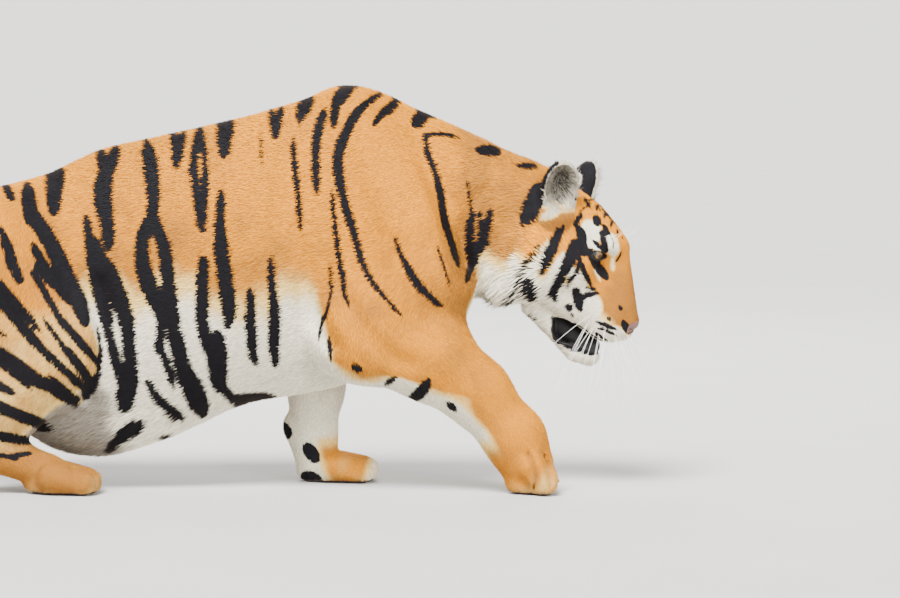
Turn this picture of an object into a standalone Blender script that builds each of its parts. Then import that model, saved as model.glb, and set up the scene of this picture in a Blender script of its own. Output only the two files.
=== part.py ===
"""A tiger in mid stride, life size: closed solids parted where a person would name its parts.

The animal is one blended clay: tapers for limbs, ellipsoids for muscles and a loft for the trunk,
joined with fillets. The clay is wrapped in one closed surface, and boxes part it into named solids.
Metres: +X the way it walks, +Y its left, +Z up. It ends with the middle of its base at the origin.
"""
import bpy
import bmesh
import numpy as np
from math import radians
from mathutils import Matrix

# ---- driving dimensions ------------------------------------------------------------------------
WITHERS = 0.850                 # height of the shoulder blades' tops
EYE_RADIUS = 0.0175
EYE_SEAT = 1.025                # a socket is this much larger than its eye
GAP = 0.0003                    # between neighbouring solids
TRACK = 0.117                   # a foot's distance from the middle plane

HEAD_ORIGIN = (0.634, -0.025, 0.492)    # between the eyes
HEAD_YAW, HEAD_PITCH, HEAD_ROLL = radians(-20), radians(38), radians(-3)
EYE = np.array((-0.007, 0.048, 0.003))  # in the head's own frame, forward, left, up
GAZE = (0.90, 0.42, 0.08)
EAR_BASE = np.array((-0.122, 0.078, 0.030))
EAR_TIP_WAY = (-0.048, 0.024, 0.102)
EAR_OPEN_WAY = (0.55, 0.80, 0.20)

BODY_STEP, HEAD_STEP = 0.008, 0.0034    # spacing of the wrapping grid
BODY_FACES, HEAD_FACES = 3300, 2250     # triangles kept before parting
BODY_SPACE = ((-1.50, -0.34, -0.05), (0.80, 0.34, 0.92))    # low and high corners of what is wrapped
HEAD_SPACE = ((0.36, -0.22, 0.24), (0.78, 0.16, 0.74))
FAR = 1.0                               # a distance beyond every fillet

# the cut between head and neck stands behind the ears and the ruff and leans with the head
NECK_PLACE, NECK_WAY = (0.468, 0.0, 0.520), (0.973, -0.10, -0.229)
HEAD_CELL = ((-0.60, -0.26), (1.00, 0.60, 0.60))    # left and up from its low corner, then its high corner

# trunk stations: forward, top, bottom, half width, how much slimmer towards the top
TRUNK = (
    (-0.80, 0.475, 0.400, 0.045, 0.00),     # root of the tail
    (-0.76, 0.530, 0.330, 0.086, 0.05),
    (-0.69, 0.592, 0.260, 0.122, 0.08),
    (-0.61, 0.632, 0.215, 0.135, 0.10),     # hips
    (-0.52, 0.666, 0.160, 0.144, 0.10),
    (-0.42, 0.712, 0.110, 0.160, 0.08),     # loose skin of the belly
    (-0.31, 0.738, 0.118, 0.171, 0.06),
    (-0.21, 0.760, 0.140, 0.173, 0.06),
    (-0.10, 0.786, 0.178, 0.169, 0.10),     # last ribs
    (0.00, 0.815, 0.195, 0.160, 0.16),
    (0.09, 0.838, 0.215, 0.151, 0.24),      # withers
    (0.17, 0.832, 0.250, 0.140, 0.28),
    (0.25, 0.796, 0.325, 0.126, 0.20),      # root of the neck
    (0.33, 0.762, 0.385, 0.113, 0.10),
    (0.41, 0.724, 0.405, 0.105, 0.05),
    (0.48, 0.684, 0.425, 0.090, 0.02),      # nape
    (0.54, 0.640, 0.465, 0.063, 0.02),
)

# tail: forward, left, up, radius
TAIL = (
    (-0.755, 0.000, 0.520, 0.046),
    (-0.840, 0.002, 0.455, 0.040),
    (-0.925, 0.010, 0.350, 0.034),
    (-1.005, 0.020, 0.245, 0.031),
    (-1.105, 0.030, 0.165, 0.029),
    (-1.225, 0.038, 0.130, 0.027),
    (-1.335, 0.044, 0.155, 0.025),
    (-1.415, 0.048, 0.225, 0.021),
)


# ---- forms: each gives the signed distance of points to its surface ------------------------------
def mix(a, b, t):
    return a + (b - a) * t


def unit(way):
    way = np.asarray(way, float)
    return way / np.linalg.norm(way)


def square_to(way, axis):
    """The part of a direction that is square to an axis, as a unit vector."""
    way = np.asarray(way, float)
    return unit(way - (way @ axis) * axis)


def join(a, b, fillet):
    """Union of two distances, with a fillet of about the given width."""
    reach = np.maximum(fillet - np.abs(a - b), 0.0) / fillet
    return np.minimum(a, b) - reach * reach * fillet * 0.25


class Taper:
    """A ball at each end and a straight taper between them, its width scaled by flat."""

    def __init__(self, start, end, r_start, r_end, flat=1.0):
        self.start, self.end = np.array(start, float), np.array(end, float)
        self.r_start, self.r_end, self.flat = r_start, r_end, flat

    def reach(self):
        half = np.linalg.norm(self.end - self.start) / 2
        return (self.start + self.end) / 2, half + max(self.r_start, self.r_end) * max(1.0, self.flat)

    def distance(self, p):
        middle = (self.start[1] + self.end[1]) / 2
        squash = np.array((1.0, 1.0 / self.flat, 1.0))
        shift = np.array((0.0, middle, 0.0))
        q, a, b = (p - shift) * squash, (self.start - shift) * squash, (self.end - shift) * squash
        line = b - a
        t = np.clip((q - a) @ line / (line @ line), 0, 1)
        away = np.linalg.norm(q - a - t[:, None] * line, axis=1)
        return (away - mix(self.r_start, self.r_end, t)) * min(1.0, self.flat)


class Lump:
    """An ellipsoid: centre, three radii, the way its first axis points and roughly which way is up."""

    def __init__(self, centre, radii, axis=(1, 0, 0), up=(0, 0, 1)):
        self.centre, self.radii = np.array(centre, float), np.array(radii, float)
        x = unit(axis)
        z = square_to(up, x)
        self.axes = np.stack([x, np.cross(z, x), z])

    def reach(self):
        return self.centre, self.radii.max()

    def distance(self, p):
        q = (p - self.centre) @ self.axes.T
        k = np.linalg.norm(q / self.radii, axis=1)
        slope = np.linalg.norm(q / self.radii**2, axis=1)
        return np.where(slope > 1e-9, k * (k - 1.0) / np.maximum(slope, 1e-9), -self.radii.min())


class Cord:
    """A smooth round length through points with radii, without bumps at the points."""

    def __init__(self, points, steps=4):
        p = np.array(points, float)
        p = np.vstack([2 * p[0] - p[1], p, 2 * p[-1] - p[-2]])
        rows = []
        for i in range(1, len(p) - 2):
            a, b, c, d = p[i - 1:i + 3]
            for t in np.arange(steps) / steps:
                bend = (2 * a - 5 * b + 4 * c - d) * t**2 + (3 * b - a - 3 * c + d) * t**3
                rows.append(0.5 * (2 * b + (c - a) * t + bend))
        rows.append(p[-2])
        self.rows = np.array(rows)

    def reach(self):
        centre = (self.rows[:, :3].min(0) + self.rows[:, :3].max(0)) / 2
        return centre, np.linalg.norm(self.rows[:, :3] - centre, axis=1).max() + self.rows[:, 3].max()

    def distance(self, p):
        d = np.full(len(p), FAR)
        for a, b in zip(self.rows[:-1], self.rows[1:]):
            line = b[:3] - a[:3]
            t = np.clip((p - a[:3]) @ line / (line @ line), 0, 1)
            away = np.linalg.norm(p - a[:3] - t[:, None] * line, axis=1)
            d = np.minimum(d, away - mix(a[3], b[3], t))
        return d


class Loft:
    """Upright egg-shaped sections along X, changing smoothly from station to station."""

    ROUND = 2.15        # 2 is an ellipse, more is squarer

    def __init__(self, stations):
        self.rows = np.array(stations, float)

    def reach(self):
        x = self.rows[:, 0]
        return np.array(((x[0] + x[-1]) / 2, 0, 0.4)), (x[-1] - x[0]) / 2 + 0.35

    def at(self, x, column):
        """A smooth cubic through one column of the stations."""
        xs, ys = self.rows[:, 0], self.rows[:, column]
        slope = np.gradient(ys, xs)
        i = np.clip(np.searchsorted(xs, x) - 1, 0, len(xs) - 2)
        h = xs[i + 1] - xs[i]
        t = np.clip((x - xs[i]) / h, 0, 1)
        ease = t * t * (3 - 2 * t)
        bend = (t**3 - 2 * t**2 + t) * h * slope[i] + (t**3 - t**2) * h * slope[i + 1]
        return mix(ys[i], ys[i + 1], ease) + bend

    def distance(self, p):
        x = np.clip(p[:, 0], self.rows[0, 0], self.rows[-1, 0])
        top, bottom, wide, slim = (self.at(x, column) for column in (1, 2, 3, 4))
        middle, tall = (top + bottom) / 2, (top - bottom) / 2
        rise = (p[:, 2] - middle) / tall
        level = np.clip(rise, -1, 1)
        wide = wide * (1 - slim * level - 0.06 * level**2)
        q = ((np.abs(p[:, 1]) / wide)**self.ROUND + np.abs(rise)**self.ROUND)**(1 / self.ROUND)
        spoke = np.hypot(p[:, 1], p[:, 2] - middle) / np.maximum(q, 1e-6)
        d = (q - 1) * np.minimum(spoke, np.maximum(tall, wide))
        past = np.abs(p[:, 0] - x)
        return np.where(past > 0, np.hypot(np.maximum(d, 0), past), d)


class Frame:
    """A turned and placed frame, for the head."""

    def __init__(self, origin, yaw, pitch, roll):
        turn = Matrix.Rotation(yaw, 3, "Z") @ Matrix.Rotation(pitch, 3, "Y") @ Matrix.Rotation(roll, 3, "X")
        self.turn, self.origin = np.array(turn), np.array(origin)

    def outward(self, q):
        return np.asarray(q) @ self.turn.T + self.origin

    def inward(self, p):
        return (p - self.origin) @ self.turn

    def matrix(self):
        return Matrix.Translation(self.origin) @ Matrix(self.turn.tolist()).to_4x4()


class Placed:
    """A form in a frame of its own, mirrored to the other side when both is set."""

    def __init__(self, form, frame, both):
        self.form, self.frame, self.both = form, frame, both

    def reach(self):
        centre, radius = self.form.reach()
        if self.both:
            radius += abs(centre[1])
            centre = centre * (1, 0, 1)
        return self.frame.outward(centre), radius

    def distance(self, p):
        q = self.frame.inward(p)
        if self.both:
            q[:, 1] = np.abs(q[:, 1])
        return self.form.distance(q)


class Clay:
    """Forms added or cut away in turn, each with its own fillet."""

    def __init__(self):
        self.steps = []

    def add(self, form, fillet):
        self.steps.append((form, fillet, 1))

    def cut(self, form, fillet):
        self.steps.append((form, fillet, -1))

    def distance(self, p):
        d = np.full(len(p), FAR)
        for form, fillet, way in self.steps:
            centre, radius = form.reach()
            near = ((p - centre)**2).sum(1) < (radius + fillet + 0.05)**2
            if near.any():
                d[near] = way * join(way * d[near], form.distance(p[near]), fillet)
        return d


# ---- the animal ----------------------------------------------------------------------------------
def limb(clay, joints, first_fillet=0.05, fillet=0.03):
    """Tapers from joint to joint. A joint is a place, a radius and how flat the limb is there."""
    for i, (a, b) in enumerate(zip(joints[:-1], joints[1:])):
        clay.add(Taper(a[0], b[0], a[1], b[1], a[2]), fillet if i else first_fillet)


def toes(clay, knuckles, tips, side, spread, r_knuckle, r_tip):
    """Four toes from the knuckles to the tips (forward, up), the middle two the longest."""
    for i in range(4):
        s = (i - 1.5) / 1.5
        reach = 1.0 - 0.16 * s * s
        a = (knuckles[0], side + s * spread * 0.8, knuckles[1])
        b = (mix(knuckles[0], tips[0], reach), side + s * spread, tips[1])
        clay.add(Taper(a, b, r_knuckle, r_tip, 0.95), 0.012)


def pad(clay, forward, side, length):
    """The sole under a foot, a little below the floor so that it rests on a flat."""
    clay.add(Lump((forward, side, 0.016), (length, 0.040, 0.020)), 0.02)


def trunk(clay):
    clay.add(Loft(TRUNK), 0.01)
    for s, back in ((-1, 0.0), (1, -0.03)):     # shoulder blades; the left leg stands further back
        top = (0.115 + back, s * 0.046, WITHERS - 0.060)
        clay.add(Taper(top, (0.235 + back, s * 0.110, 0.560), 0.042, 0.075, 0.8), 0.06)
    for s in (-1, 1):                           # hip and seat bones with their muscles
        clay.add(Lump((-0.585, s * 0.078, 0.540), (0.110, 0.057, 0.085)), 0.08)
        clay.add(Lump((-0.735, s * 0.055, 0.430), (0.070, 0.057, 0.095)), 0.07)
    clay.add(Lump((-0.440, 0, 0.190), (0.170, 0.106, 0.125), axis=(1, 0, -0.06)), 0.06)
    clay.add(Lump((-0.310, 0, 0.205), (0.130, 0.110, 0.090), axis=(1, 0, 0.08)), 0.05)


def right_foreleg(clay):
    """Reaching forward, the paw just set down."""
    limb(clay, (((0.262, -0.115, 0.440), 0.110, 0.75), ((0.130, -0.136, 0.322), 0.083, 0.75)))
    limb(clay, (((0.118, -0.138, 0.330), 0.078, 0.72), ((0.277, -0.138, 0.283), 0.086, 0.72),
                ((0.368, -0.132, 0.214), 0.067, 0.80), ((0.448, -0.122, 0.118), 0.060, 0.90),
                ((0.474, -TRACK, 0.062), 0.056, 1.00)))
    toes(clay, (0.486, 0.062), (0.514, 0.028), -TRACK, 0.046, 0.036, 0.029)
    pad(clay, 0.478, -TRACK, 0.045)


def left_foreleg(clay):
    """Upright under the chest, the wrist rolling over the toes."""
    limb(clay, (((0.225, 0.115, 0.440), 0.100, 0.75), ((0.045, 0.136, 0.345), 0.072, 0.80),
                ((0.030, 0.124, 0.195), 0.055, 0.85), ((0.022, 0.115, 0.105), 0.047, 1.00),
                ((0.030, 0.110, 0.048), 0.045, 1.10)))
    clay.add(Lump((-0.022, 0.112, 0.118), (0.018, 0.017, 0.024)), 0.02)     # carpal pad
    toes(clay, (0.060, 0.034), (0.140, 0.025), TRACK, 0.048, 0.031, 0.026)
    pad(clay, 0.045, TRACK, 0.055)


def right_hind_leg(clay):
    """Planted under the flank, the knee well bent."""
    clay.add(Taper((-0.650, -0.097, 0.455), (-0.500, -0.133, 0.300), 0.150, 0.088, 0.62), 0.06)
    limb(clay, (((-0.500, -0.138, 0.290), 0.080, 0.75), ((-0.600, -0.131, 0.190), 0.070, 0.72),
                ((-0.690, -0.121, 0.105), 0.038, 0.90)))
    limb(clay, (((-0.690, -0.121, 0.095), 0.036, 0.90), ((-0.520, -0.121, 0.048), 0.036, 1.15)))
    toes(clay, (-0.510, 0.038), (-0.432, 0.025), -TRACK, 0.046, 0.032, 0.026)
    pad(clay, -0.515, -TRACK, 0.055)


def left_hind_leg(clay):
    """Stretched back, about to push off."""
    clay.add(Taper((-0.650, 0.097, 0.450), (-0.530, 0.133, 0.265), 0.145, 0.086, 0.62), 0.06)
    limb(clay, (((-0.530, 0.133, 0.250), 0.080, 0.75), ((-0.665, 0.127, 0.215), 0.068, 0.75),
                ((-0.790, 0.118, 0.195), 0.039, 0.85)))
    limb(clay, (((-0.790, 0.118, 0.190), 0.037, 0.85), ((-0.885, 0.114, 0.060), 0.036, 1.15)))
    toes(clay, (-0.890, 0.042), (-0.812, 0.025), TRACK, 0.046, 0.032, 0.026)
    pad(clay, -0.880, TRACK, 0.045)


def head(clay, frame):
    """Skull, muzzle, jaw, mouth, lids and ears, in the head's frame: forward, left, up."""
    def add(form, fillet, both=False):
        clay.add(Placed(form, frame, both), fillet)

    def cut(form, fillet, both=False):
        clay.cut(Placed(form, frame, both), fillet)

    add(Lump((-0.160, 0, -0.035), (0.110, 0.103, 0.105)), 0.07)                         # poll
    add(Lump((-0.080, 0, 0.003), (0.100, 0.078, 0.076)), 0.03)                          # cranium
    add(Lump((-0.020, 0, 0.017), (0.058, 0.056, 0.048)), 0.02)                          # forehead
    add(Taper((0.012, 0, 0.020), (0.108, 0, -0.057), 0.035, 0.026), 0.02)               # bridge of the nose
    add(Taper((0.015, 0.030, -0.070), (0.095, 0.020, -0.084), 0.048, 0.040), 0.02, True)
    add(Lump((0.132, 0, -0.071), (0.023, 0.025, 0.020)), 0.015)                         # nose pad
    add(Lump((0.108, 0.026, -0.098), (0.042, 0.033, 0.037)), 0.010, True)               # whisker pads
    add(Lump((-0.035, 0.070, -0.045), (0.062, 0.036, 0.044)), 0.03, True)               # cheekbones
    add(Lump((-0.072, 0.080, -0.088), (0.070, 0.044, 0.080)), 0.03, True)               # cheeks
    add(Taper((-0.005, 0.044, -0.120), (0.085, 0.026, -0.108), 0.036, 0.034), 0.03, True)
    add(Lump((0.002, 0.040, 0.034), (0.030, 0.022, 0.016)), 0.02, True)                 # brows
    add(Taper((-0.040, 0.042, -0.163), (0.085, 0.016, -0.196), 0.031, 0.021), 0.02, True)
    add(Lump((0.107, 0, -0.183), (0.028, 0.029, 0.025)), 0.02)                          # chin
    add(Lump((-0.110, 0.100, -0.112), (0.058, 0.042, 0.092), axis=(1, 0, 0.3)), 0.04, True)     # ruff

    cut(Taper((0.012, 0, -0.160), (0.045, 0, -0.168), 0.009, 0.026, 5.0), 0.006)        # open mouth
    cut(Taper((0.045, 0, -0.168), (0.088, 0, -0.158), 0.026, 0.016, 5.0), 0.006)
    cut(Taper((0.088, 0, -0.158), (0.160, 0, -0.144), 0.016, 0.011, 5.0), 0.006)
    add(Taper((0.000, 0, -0.168), (0.102, 0, -0.158), 0.028, 0.018, 0.9), 0.004)        # floor of the mouth

    gaze = unit(GAZE)
    lid_up = square_to((0.10, 0.25, 1.0), gaze)
    add(Lump(EYE, (0.021, 0.021, 0.021)), 0.014, True)
    opening = Lump(EYE + 0.017 * gaze, (0.0165, 0.012, 0.0085), np.cross(lid_up, gaze), lid_up)
    cut(opening, 0.003, True)

    tip = unit(EAR_TIP_WAY)
    out = square_to(EAR_OPEN_WAY, tip)
    middle = EAR_BASE + 0.046 * tip
    add(Taper(EAR_BASE - 0.015 * tip, EAR_BASE + 0.012 * tip, 0.040, 0.030), 0.03, True)
    add(Lump(middle, (0.057, 0.042, 0.030), tip, out), 0.02, True)
    cut(Lump(middle + 0.014 * out, (0.048, 0.033, 0.030), tip, out), 0.004, True)


def model_tiger(frame):
    clay = Clay()
    trunk(clay)
    right_foreleg(clay)
    left_foreleg(clay)
    right_hind_leg(clay)
    left_hind_leg(clay)
    clay.add(Cord(TAIL), 0.05)
    head(clay, frame)
    return clay


# ---- from clay to mesh -----------------------------------------------------------------------------
def sample(clay, low, step, count, coarse=4):
    """Distances on a grid: worked out coarsely everywhere, and exactly near the surface."""
    blocks = count // coarse + 2
    lines = [low[i] + np.arange(blocks[i]) * step * coarse for i in range(3)]
    nodes = np.stack(np.meshgrid(*lines, indexing="ij"), -1)
    rough = clay.distance(nodes.reshape(-1, 3)).reshape(blocks)
    close = np.abs(rough) < step * coarse * 2.2
    near = np.zeros(tuple(blocks - 1), bool)
    for corner in np.ndindex(2, 2, 2):
        window = tuple(slice(c, c + n - 1) for c, n in zip(corner, blocks))
        near |= close[window]
    grid = rough[:-1, :-1, :-1]
    for axis in range(3):
        grid = grid.repeat(coarse, axis)
        near = near.repeat(coarse, axis)
    cells = np.argwhere(near)
    grid[tuple(cells.T)] = clay.distance(low + cells * step)
    for axis in range(3):
        edges = np.moveaxis(grid, axis, 0)
        edges[[0, -1]] = step
    return grid


def wrap(clay, low, high, step):
    """The clay's surface inside a box: a vertex in each cell that it crosses, a quad round each edge."""
    low = np.array(low, float)
    count = np.ceil((np.array(high) - low) / step).astype(int) + 1
    grid = sample(clay, low, step, count)
    shape = np.array(grid.shape)
    strides = np.array((shape[1] * shape[2], shape[2], 1))
    owners, places, quads = [], [], []
    for axis in range(3):
        lines = np.moveaxis(grid, axis, 0)
        crossed = np.argwhere((lines[:-1] < 0) != (lines[1:] < 0))
        crossed = np.insert(crossed[:, 1:], axis, crossed[:, 0], axis=1)
        along = np.eye(3, dtype=int)[axis]
        before, after = grid[tuple(crossed.T)], grid[tuple((crossed + along).T)]
        place = crossed + along * (before / (before - after))[:, None]
        u, v = strides[(axis + 1) % 3], strides[(axis + 2) % 3]
        home = crossed @ strides
        round_edge = np.stack([home, home - u, home - u - v, home - v], 1)
        falling = before > 0
        round_edge[falling] = round_edge[falling][:, ::-1]
        quads.append(round_edge)
        for corner in range(4):
            owners.append(round_edge[:, corner])
            places.append(place)
    owners, places, quads = np.concatenate(owners), np.concatenate(places), np.concatenate(quads)
    cells, index = np.unique(owners, return_inverse=True)
    total = np.stack([np.bincount(index, places[:, i]) for i in range(3)], 1)
    vertices = low + total / np.bincount(index)[:, None] * step
    faces = np.searchsorted(cells, quads)
    mesh = bpy.data.meshes.new("wrap")
    mesh.from_pydata(vertices.tolist(), [], faces.tolist())
    return mesh


def evaluated(thing):
    """A new mesh of an object with its modifiers applied."""
    thing.data.update()
    graph = bpy.context.evaluated_depsgraph_get()
    return bpy.data.meshes.new_from_object(thing.evaluated_get(graph))


def thinned(mesh, step, triangles):
    """The mesh made sound by an even remesh, then thinned to about the given number of triangles."""
    thing = bpy.data.objects.new("thinning", mesh)
    bpy.data.collections["cutters"].objects.link(thing)
    remesh = thing.modifiers.new("sound", "REMESH")
    remesh.mode = "VOXEL"
    remesh.voxel_size = step
    sound = evaluated(thing)
    remesh.show_viewport = False
    thing.data = sound
    thin = thing.modifiers.new("thin", "DECIMATE")
    thin.ratio = triangles / (2 * len(sound.polygons))
    result = evaluated(thing)
    bpy.data.objects.remove(thing)
    return result


# ---- parting -----------------------------------------------------------------------------------------
def box(low, high, place=Matrix(), grow=0.0):
    """A box between two corners in a placed frame, larger on every side by grow."""
    low, high = np.array(low, float) - grow, np.array(high, float) + grow
    shape = bmesh.new()
    size = Matrix.Diagonal((*(high - low), 1))
    bmesh.ops.create_cube(shape, size=1.0, matrix=place @ Matrix.Translation((low + high) / 2) @ size)
    mesh = bpy.data.meshes.new("box")
    shape.to_mesh(mesh)
    shape.free()
    return mesh


def combined(mesh, tool, operation):
    """The Boolean of two meshes, as a new mesh."""
    thing = bpy.data.objects.new("thing", mesh)
    cutter = bpy.data.objects.new("cutter", tool)
    for made in (thing, cutter):
        bpy.data.collections["cutters"].objects.link(made)
    cutter.hide_render = True
    cutter.display_type = "WIRE"
    modifier = thing.modifiers.new("cut", "BOOLEAN")
    modifier.operation = operation
    modifier.solver = "EXACT"
    modifier.object = cutter
    result = evaluated(thing)
    for made in (thing, cutter):
        bpy.data.objects.remove(made)
    return result


def largest(mesh):
    """The mesh without the crumbs that a cut leaves beside its largest body."""
    shape = bmesh.new()
    shape.from_mesh(mesh)
    waiting, bodies = set(shape.verts), []
    while waiting:
        body, edge = set(), {waiting.pop()}
        while edge:
            body |= edge
            edge = {e.other_vert(v) for v in edge for e in v.link_edges} - body
        waiting -= body
        bodies.append(body)
    bodies.sort(key=len)
    crumbs = [v for body in bodies[:-1] for v in body]
    bmesh.ops.delete(shape, geom=crumbs, context="VERTS")
    shape.to_mesh(mesh)
    shape.free()
    return mesh


class Carving:
    """A mesh that boxes are taken out of one by one, leaving a gap beside each piece."""

    def __init__(self, mesh):
        self.rest = mesh

    def take(self, low, high, place=Matrix()):
        piece = combined(self.rest, box(low, high, place), "INTERSECT")
        self.rest = combined(self.rest, box(low, high, place, GAP), "DIFFERENCE")
        return largest(piece)


def matrix_of(origin, forward, up):
    """A frame at a place with its X axis forward and its Z axis near up."""
    x = unit(forward)
    z = square_to(up, x)
    turn = Matrix(np.stack([x, np.cross(z, x), z], 1).tolist()).to_4x4()
    return Matrix.Translation(origin) @ turn


# ---- materials ---------------------------------------------------------------------------------------
COLOURS = {     # base colour and roughness
    "striped_coat": ((0.72, 0.40, 0.16), 0.85),
    "head_coat": ((0.72, 0.42, 0.20), 0.85),
    "pale_coat": ((0.80, 0.77, 0.70), 0.85),
    "ear_coat": ((0.30, 0.29, 0.28), 0.85),
    "nose_leather": ((0.45, 0.24, 0.20), 0.45),
    "eye": ((0.28, 0.18, 0.06), 0.10),
}


def material(name):
    made = bpy.data.materials.get(name)
    if made is None:
        made = bpy.data.materials.new(name)
        made.use_nodes = True
        surface = made.node_tree.nodes["Principled BSDF"]
        colour, roughness = COLOURS[name]
        surface.inputs["Base Color"].default_value = (*colour, 1)
        surface.inputs["Roughness"].default_value = roughness
        surface.inputs["Metallic"].default_value = 0
    return made


def node(name, mesh, slot):
    """A named solid with its material."""
    mesh.name = name
    mesh.materials.clear()
    mesh.materials.append(material(slot))
    made = bpy.data.objects.new(name, mesh)
    bpy.data.collections["tiger"].objects.link(made)
    return made


# ---- build -------------------------------------------------------------------------------------------
def head_nodes(clay, frame):
    """The head's solids, from a fine wrap of it."""
    place = frame.matrix()
    carving = Carving(thinned(wrap(clay, *HEAD_SPACE, HEAD_STEP), HEAD_STEP, HEAD_FACES))
    neck = matrix_of(NECK_PLACE, NECK_WAY, (0, 0, 1))
    carving.rest = combined(carving.rest, box((GAP, *HEAD_CELL[0]), HEAD_CELL[1], neck), "INTERSECT")
    pieces = {}
    tip, out = unit(EAR_TIP_WAY), square_to(EAR_OPEN_WAY, unit(EAR_TIP_WAY))
    for side, mirror in (("left", 1), ("right", -1)):
        flip = np.array((1, mirror, 1))
        ear = place @ matrix_of((EAR_BASE + 0.018 * tip) * flip, tip * flip, out * flip)
        pieces[side + "_ear"] = carving.take((0, -0.07, -0.05), (0.12, 0.07, 0.06), ear)
    pieces["nose"] = carving.take((0.130, -0.034, -0.094), (0.190, 0.034, -0.030), place)
    jaw = place @ matrix_of((-0.012, 0, -0.164), (1, 0, 0.14), (0, 0, 1))
    pieces["jaw"] = carving.take((0, -0.09, -0.12), (0.22, 0.09, 0), jaw)
    for side, mirror in (("left", 1), ("right", -1)):
        centre = place @ Matrix.Translation(EYE * (1, mirror, 1))
        for seat in (False, True):
            ball = bmesh.new()
            radius = EYE_RADIUS * (EYE_SEAT if seat else 1)
            bmesh.ops.create_uvsphere(ball, u_segments=12, v_segments=8, radius=radius, matrix=centre)
            mesh = bpy.data.meshes.new("ball")
            ball.to_mesh(mesh)
            ball.free()
            if seat:
                carving.rest = combined(carving.rest, mesh, "DIFFERENCE")
            else:
                pieces[side + "_eye"] = mesh
    pieces["head"] = largest(carving.rest)
    return pieces


def body_nodes(clay):
    """The rest of the animal, from a coarser wrap, parted from the feet and the tail inwards."""
    carving = Carving(thinned(wrap(clay, *BODY_SPACE, BODY_STEP), BODY_STEP, BODY_FACES))
    take = carving.take
    carving.rest = combined(carving.rest, box((-2, -1, -1), (2, 1, 0)), "DIFFERENCE")
    forearm = matrix_of((0.235, 0, 0.300), (0.80, 0, -0.60), (0, 0, 1))
    pieces = {
        "right_forepaw": take((0.38, -0.30, -1), (0.70, -0.02, 0.125)),
        "right_forearm": take((0, -0.30, -0.20), (0.60, -0.06, 0.115), forearm),
    }
    neck = matrix_of(NECK_PLACE, NECK_WAY, (0, 0, 1))
    carving.rest = combined(carving.rest, box((0, *HEAD_CELL[0]), HEAD_CELL[1], neck), "DIFFERENCE")
    pieces |= {
        "tail_tip": take((-2, -1, -1), (-1.22, 1, 1)),
        "tail_middle": take((-2, -1, -1), (-0.985, 1, 1)),
        "tail_base": take((-2, -0.30, 0.190), (-0.835, 0.080, 1)),
        "left_forepaw": take((-0.10, 0.02, -1), (0.24, 0.30, 0.078)),
        "left_forearm": take((-0.10, 0.06, -1), (0.14, 0.30, 0.255)),
        "right_hind_paw": take((-0.575, -0.30, -1), (-0.36, -0.045, 0.072)),
        "right_shin": take((-0.78, -0.30, -1), (-0.43, -0.072, 0.270)),
        "left_hind_paw": take((-1.0, 0.03, -1), (-0.76, 0.30, 0.085)),
        "left_shin": take((-0.95, 0.072, -1), (-0.47, 0.30, 0.290)),
        "right_upper_arm": take((0.03, -0.30, 0.10), (0.36, -0.078, 0.560)),
        "left_upper_arm": take((-0.05, 0.078, 0.10), (0.33, 0.30, 0.560)),
        "right_thigh": take((-0.78, -0.30, 0.10), (-0.43, -0.072, 0.500)),
        "left_thigh": take((-0.78, 0.072, 0.10), (-0.45, 0.30, 0.500)),
        "neck": take((0.285, -1, -1), (1, 1, 1)),
        "chest": take((-0.130, -1, -1), (1, 1, 1)),
        "barrel": take((-0.440, -1, -1), (1, 1, 1)),
    }
    pieces["hindquarters"] = largest(carving.rest)
    return pieces


def build():
    for thing in list(bpy.data.objects):
        bpy.data.objects.remove(thing)
    for title in ("tiger", "cutters"):
        bpy.context.scene.collection.children.link(bpy.data.collections.new(title))
    frame = Frame(HEAD_ORIGIN, HEAD_YAW, HEAD_PITCH, HEAD_ROLL)
    clay = model_tiger(frame)
    pieces = head_nodes(clay, frame) | body_nodes(clay)
    slots = {"left_eye": "eye", "right_eye": "eye", "nose": "nose_leather", "jaw": "pale_coat",
             "left_ear": "ear_coat", "right_ear": "ear_coat", "head": "head_coat"}
    corners = []
    for name, mesh in pieces.items():
        node(name, mesh, slots.get(name, "striped_coat"))
        corners += [v.co for v in mesh.vertices]
    corners = np.array(corners)
    middle = (corners.min(0) + corners.max(0)) / 2
    for name in pieces:
        bpy.data.objects[name].data.transform(Matrix.Translation((-middle[0], -middle[1], 0)))


build()
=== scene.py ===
# %% [markdown]
# # A tiger in mid stride
# A museum's tiger is a sculpted body with a coat over it. The body comes packed, as closed solids
# that reach to the tips of the coat. This lesson dresses them: one skin a little inside the solids,
# the markings, the coat in small tufts, then eyes, whiskers, floor, lights and camera.
# First it loads the solids and keeps the box that holds them.

# %% Load the solids
from math import cos, radians, sin
import bmesh
import bpy
import numpy as np
from mathutils import Matrix, Vector


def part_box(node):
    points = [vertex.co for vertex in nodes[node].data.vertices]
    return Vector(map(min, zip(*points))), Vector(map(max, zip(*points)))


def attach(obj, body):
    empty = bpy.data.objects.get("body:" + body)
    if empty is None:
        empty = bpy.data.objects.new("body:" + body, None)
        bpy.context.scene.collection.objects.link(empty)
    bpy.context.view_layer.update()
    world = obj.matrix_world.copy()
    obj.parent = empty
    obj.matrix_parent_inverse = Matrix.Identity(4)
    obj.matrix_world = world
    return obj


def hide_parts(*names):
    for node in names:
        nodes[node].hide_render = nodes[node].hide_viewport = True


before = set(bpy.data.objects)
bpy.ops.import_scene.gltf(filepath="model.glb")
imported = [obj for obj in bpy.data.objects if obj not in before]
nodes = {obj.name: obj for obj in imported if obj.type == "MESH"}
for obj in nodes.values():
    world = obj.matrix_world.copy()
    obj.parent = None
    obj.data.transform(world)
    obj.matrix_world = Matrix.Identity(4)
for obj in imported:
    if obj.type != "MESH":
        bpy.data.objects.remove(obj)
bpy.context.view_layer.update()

dice = np.random.default_rng(7)

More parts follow.
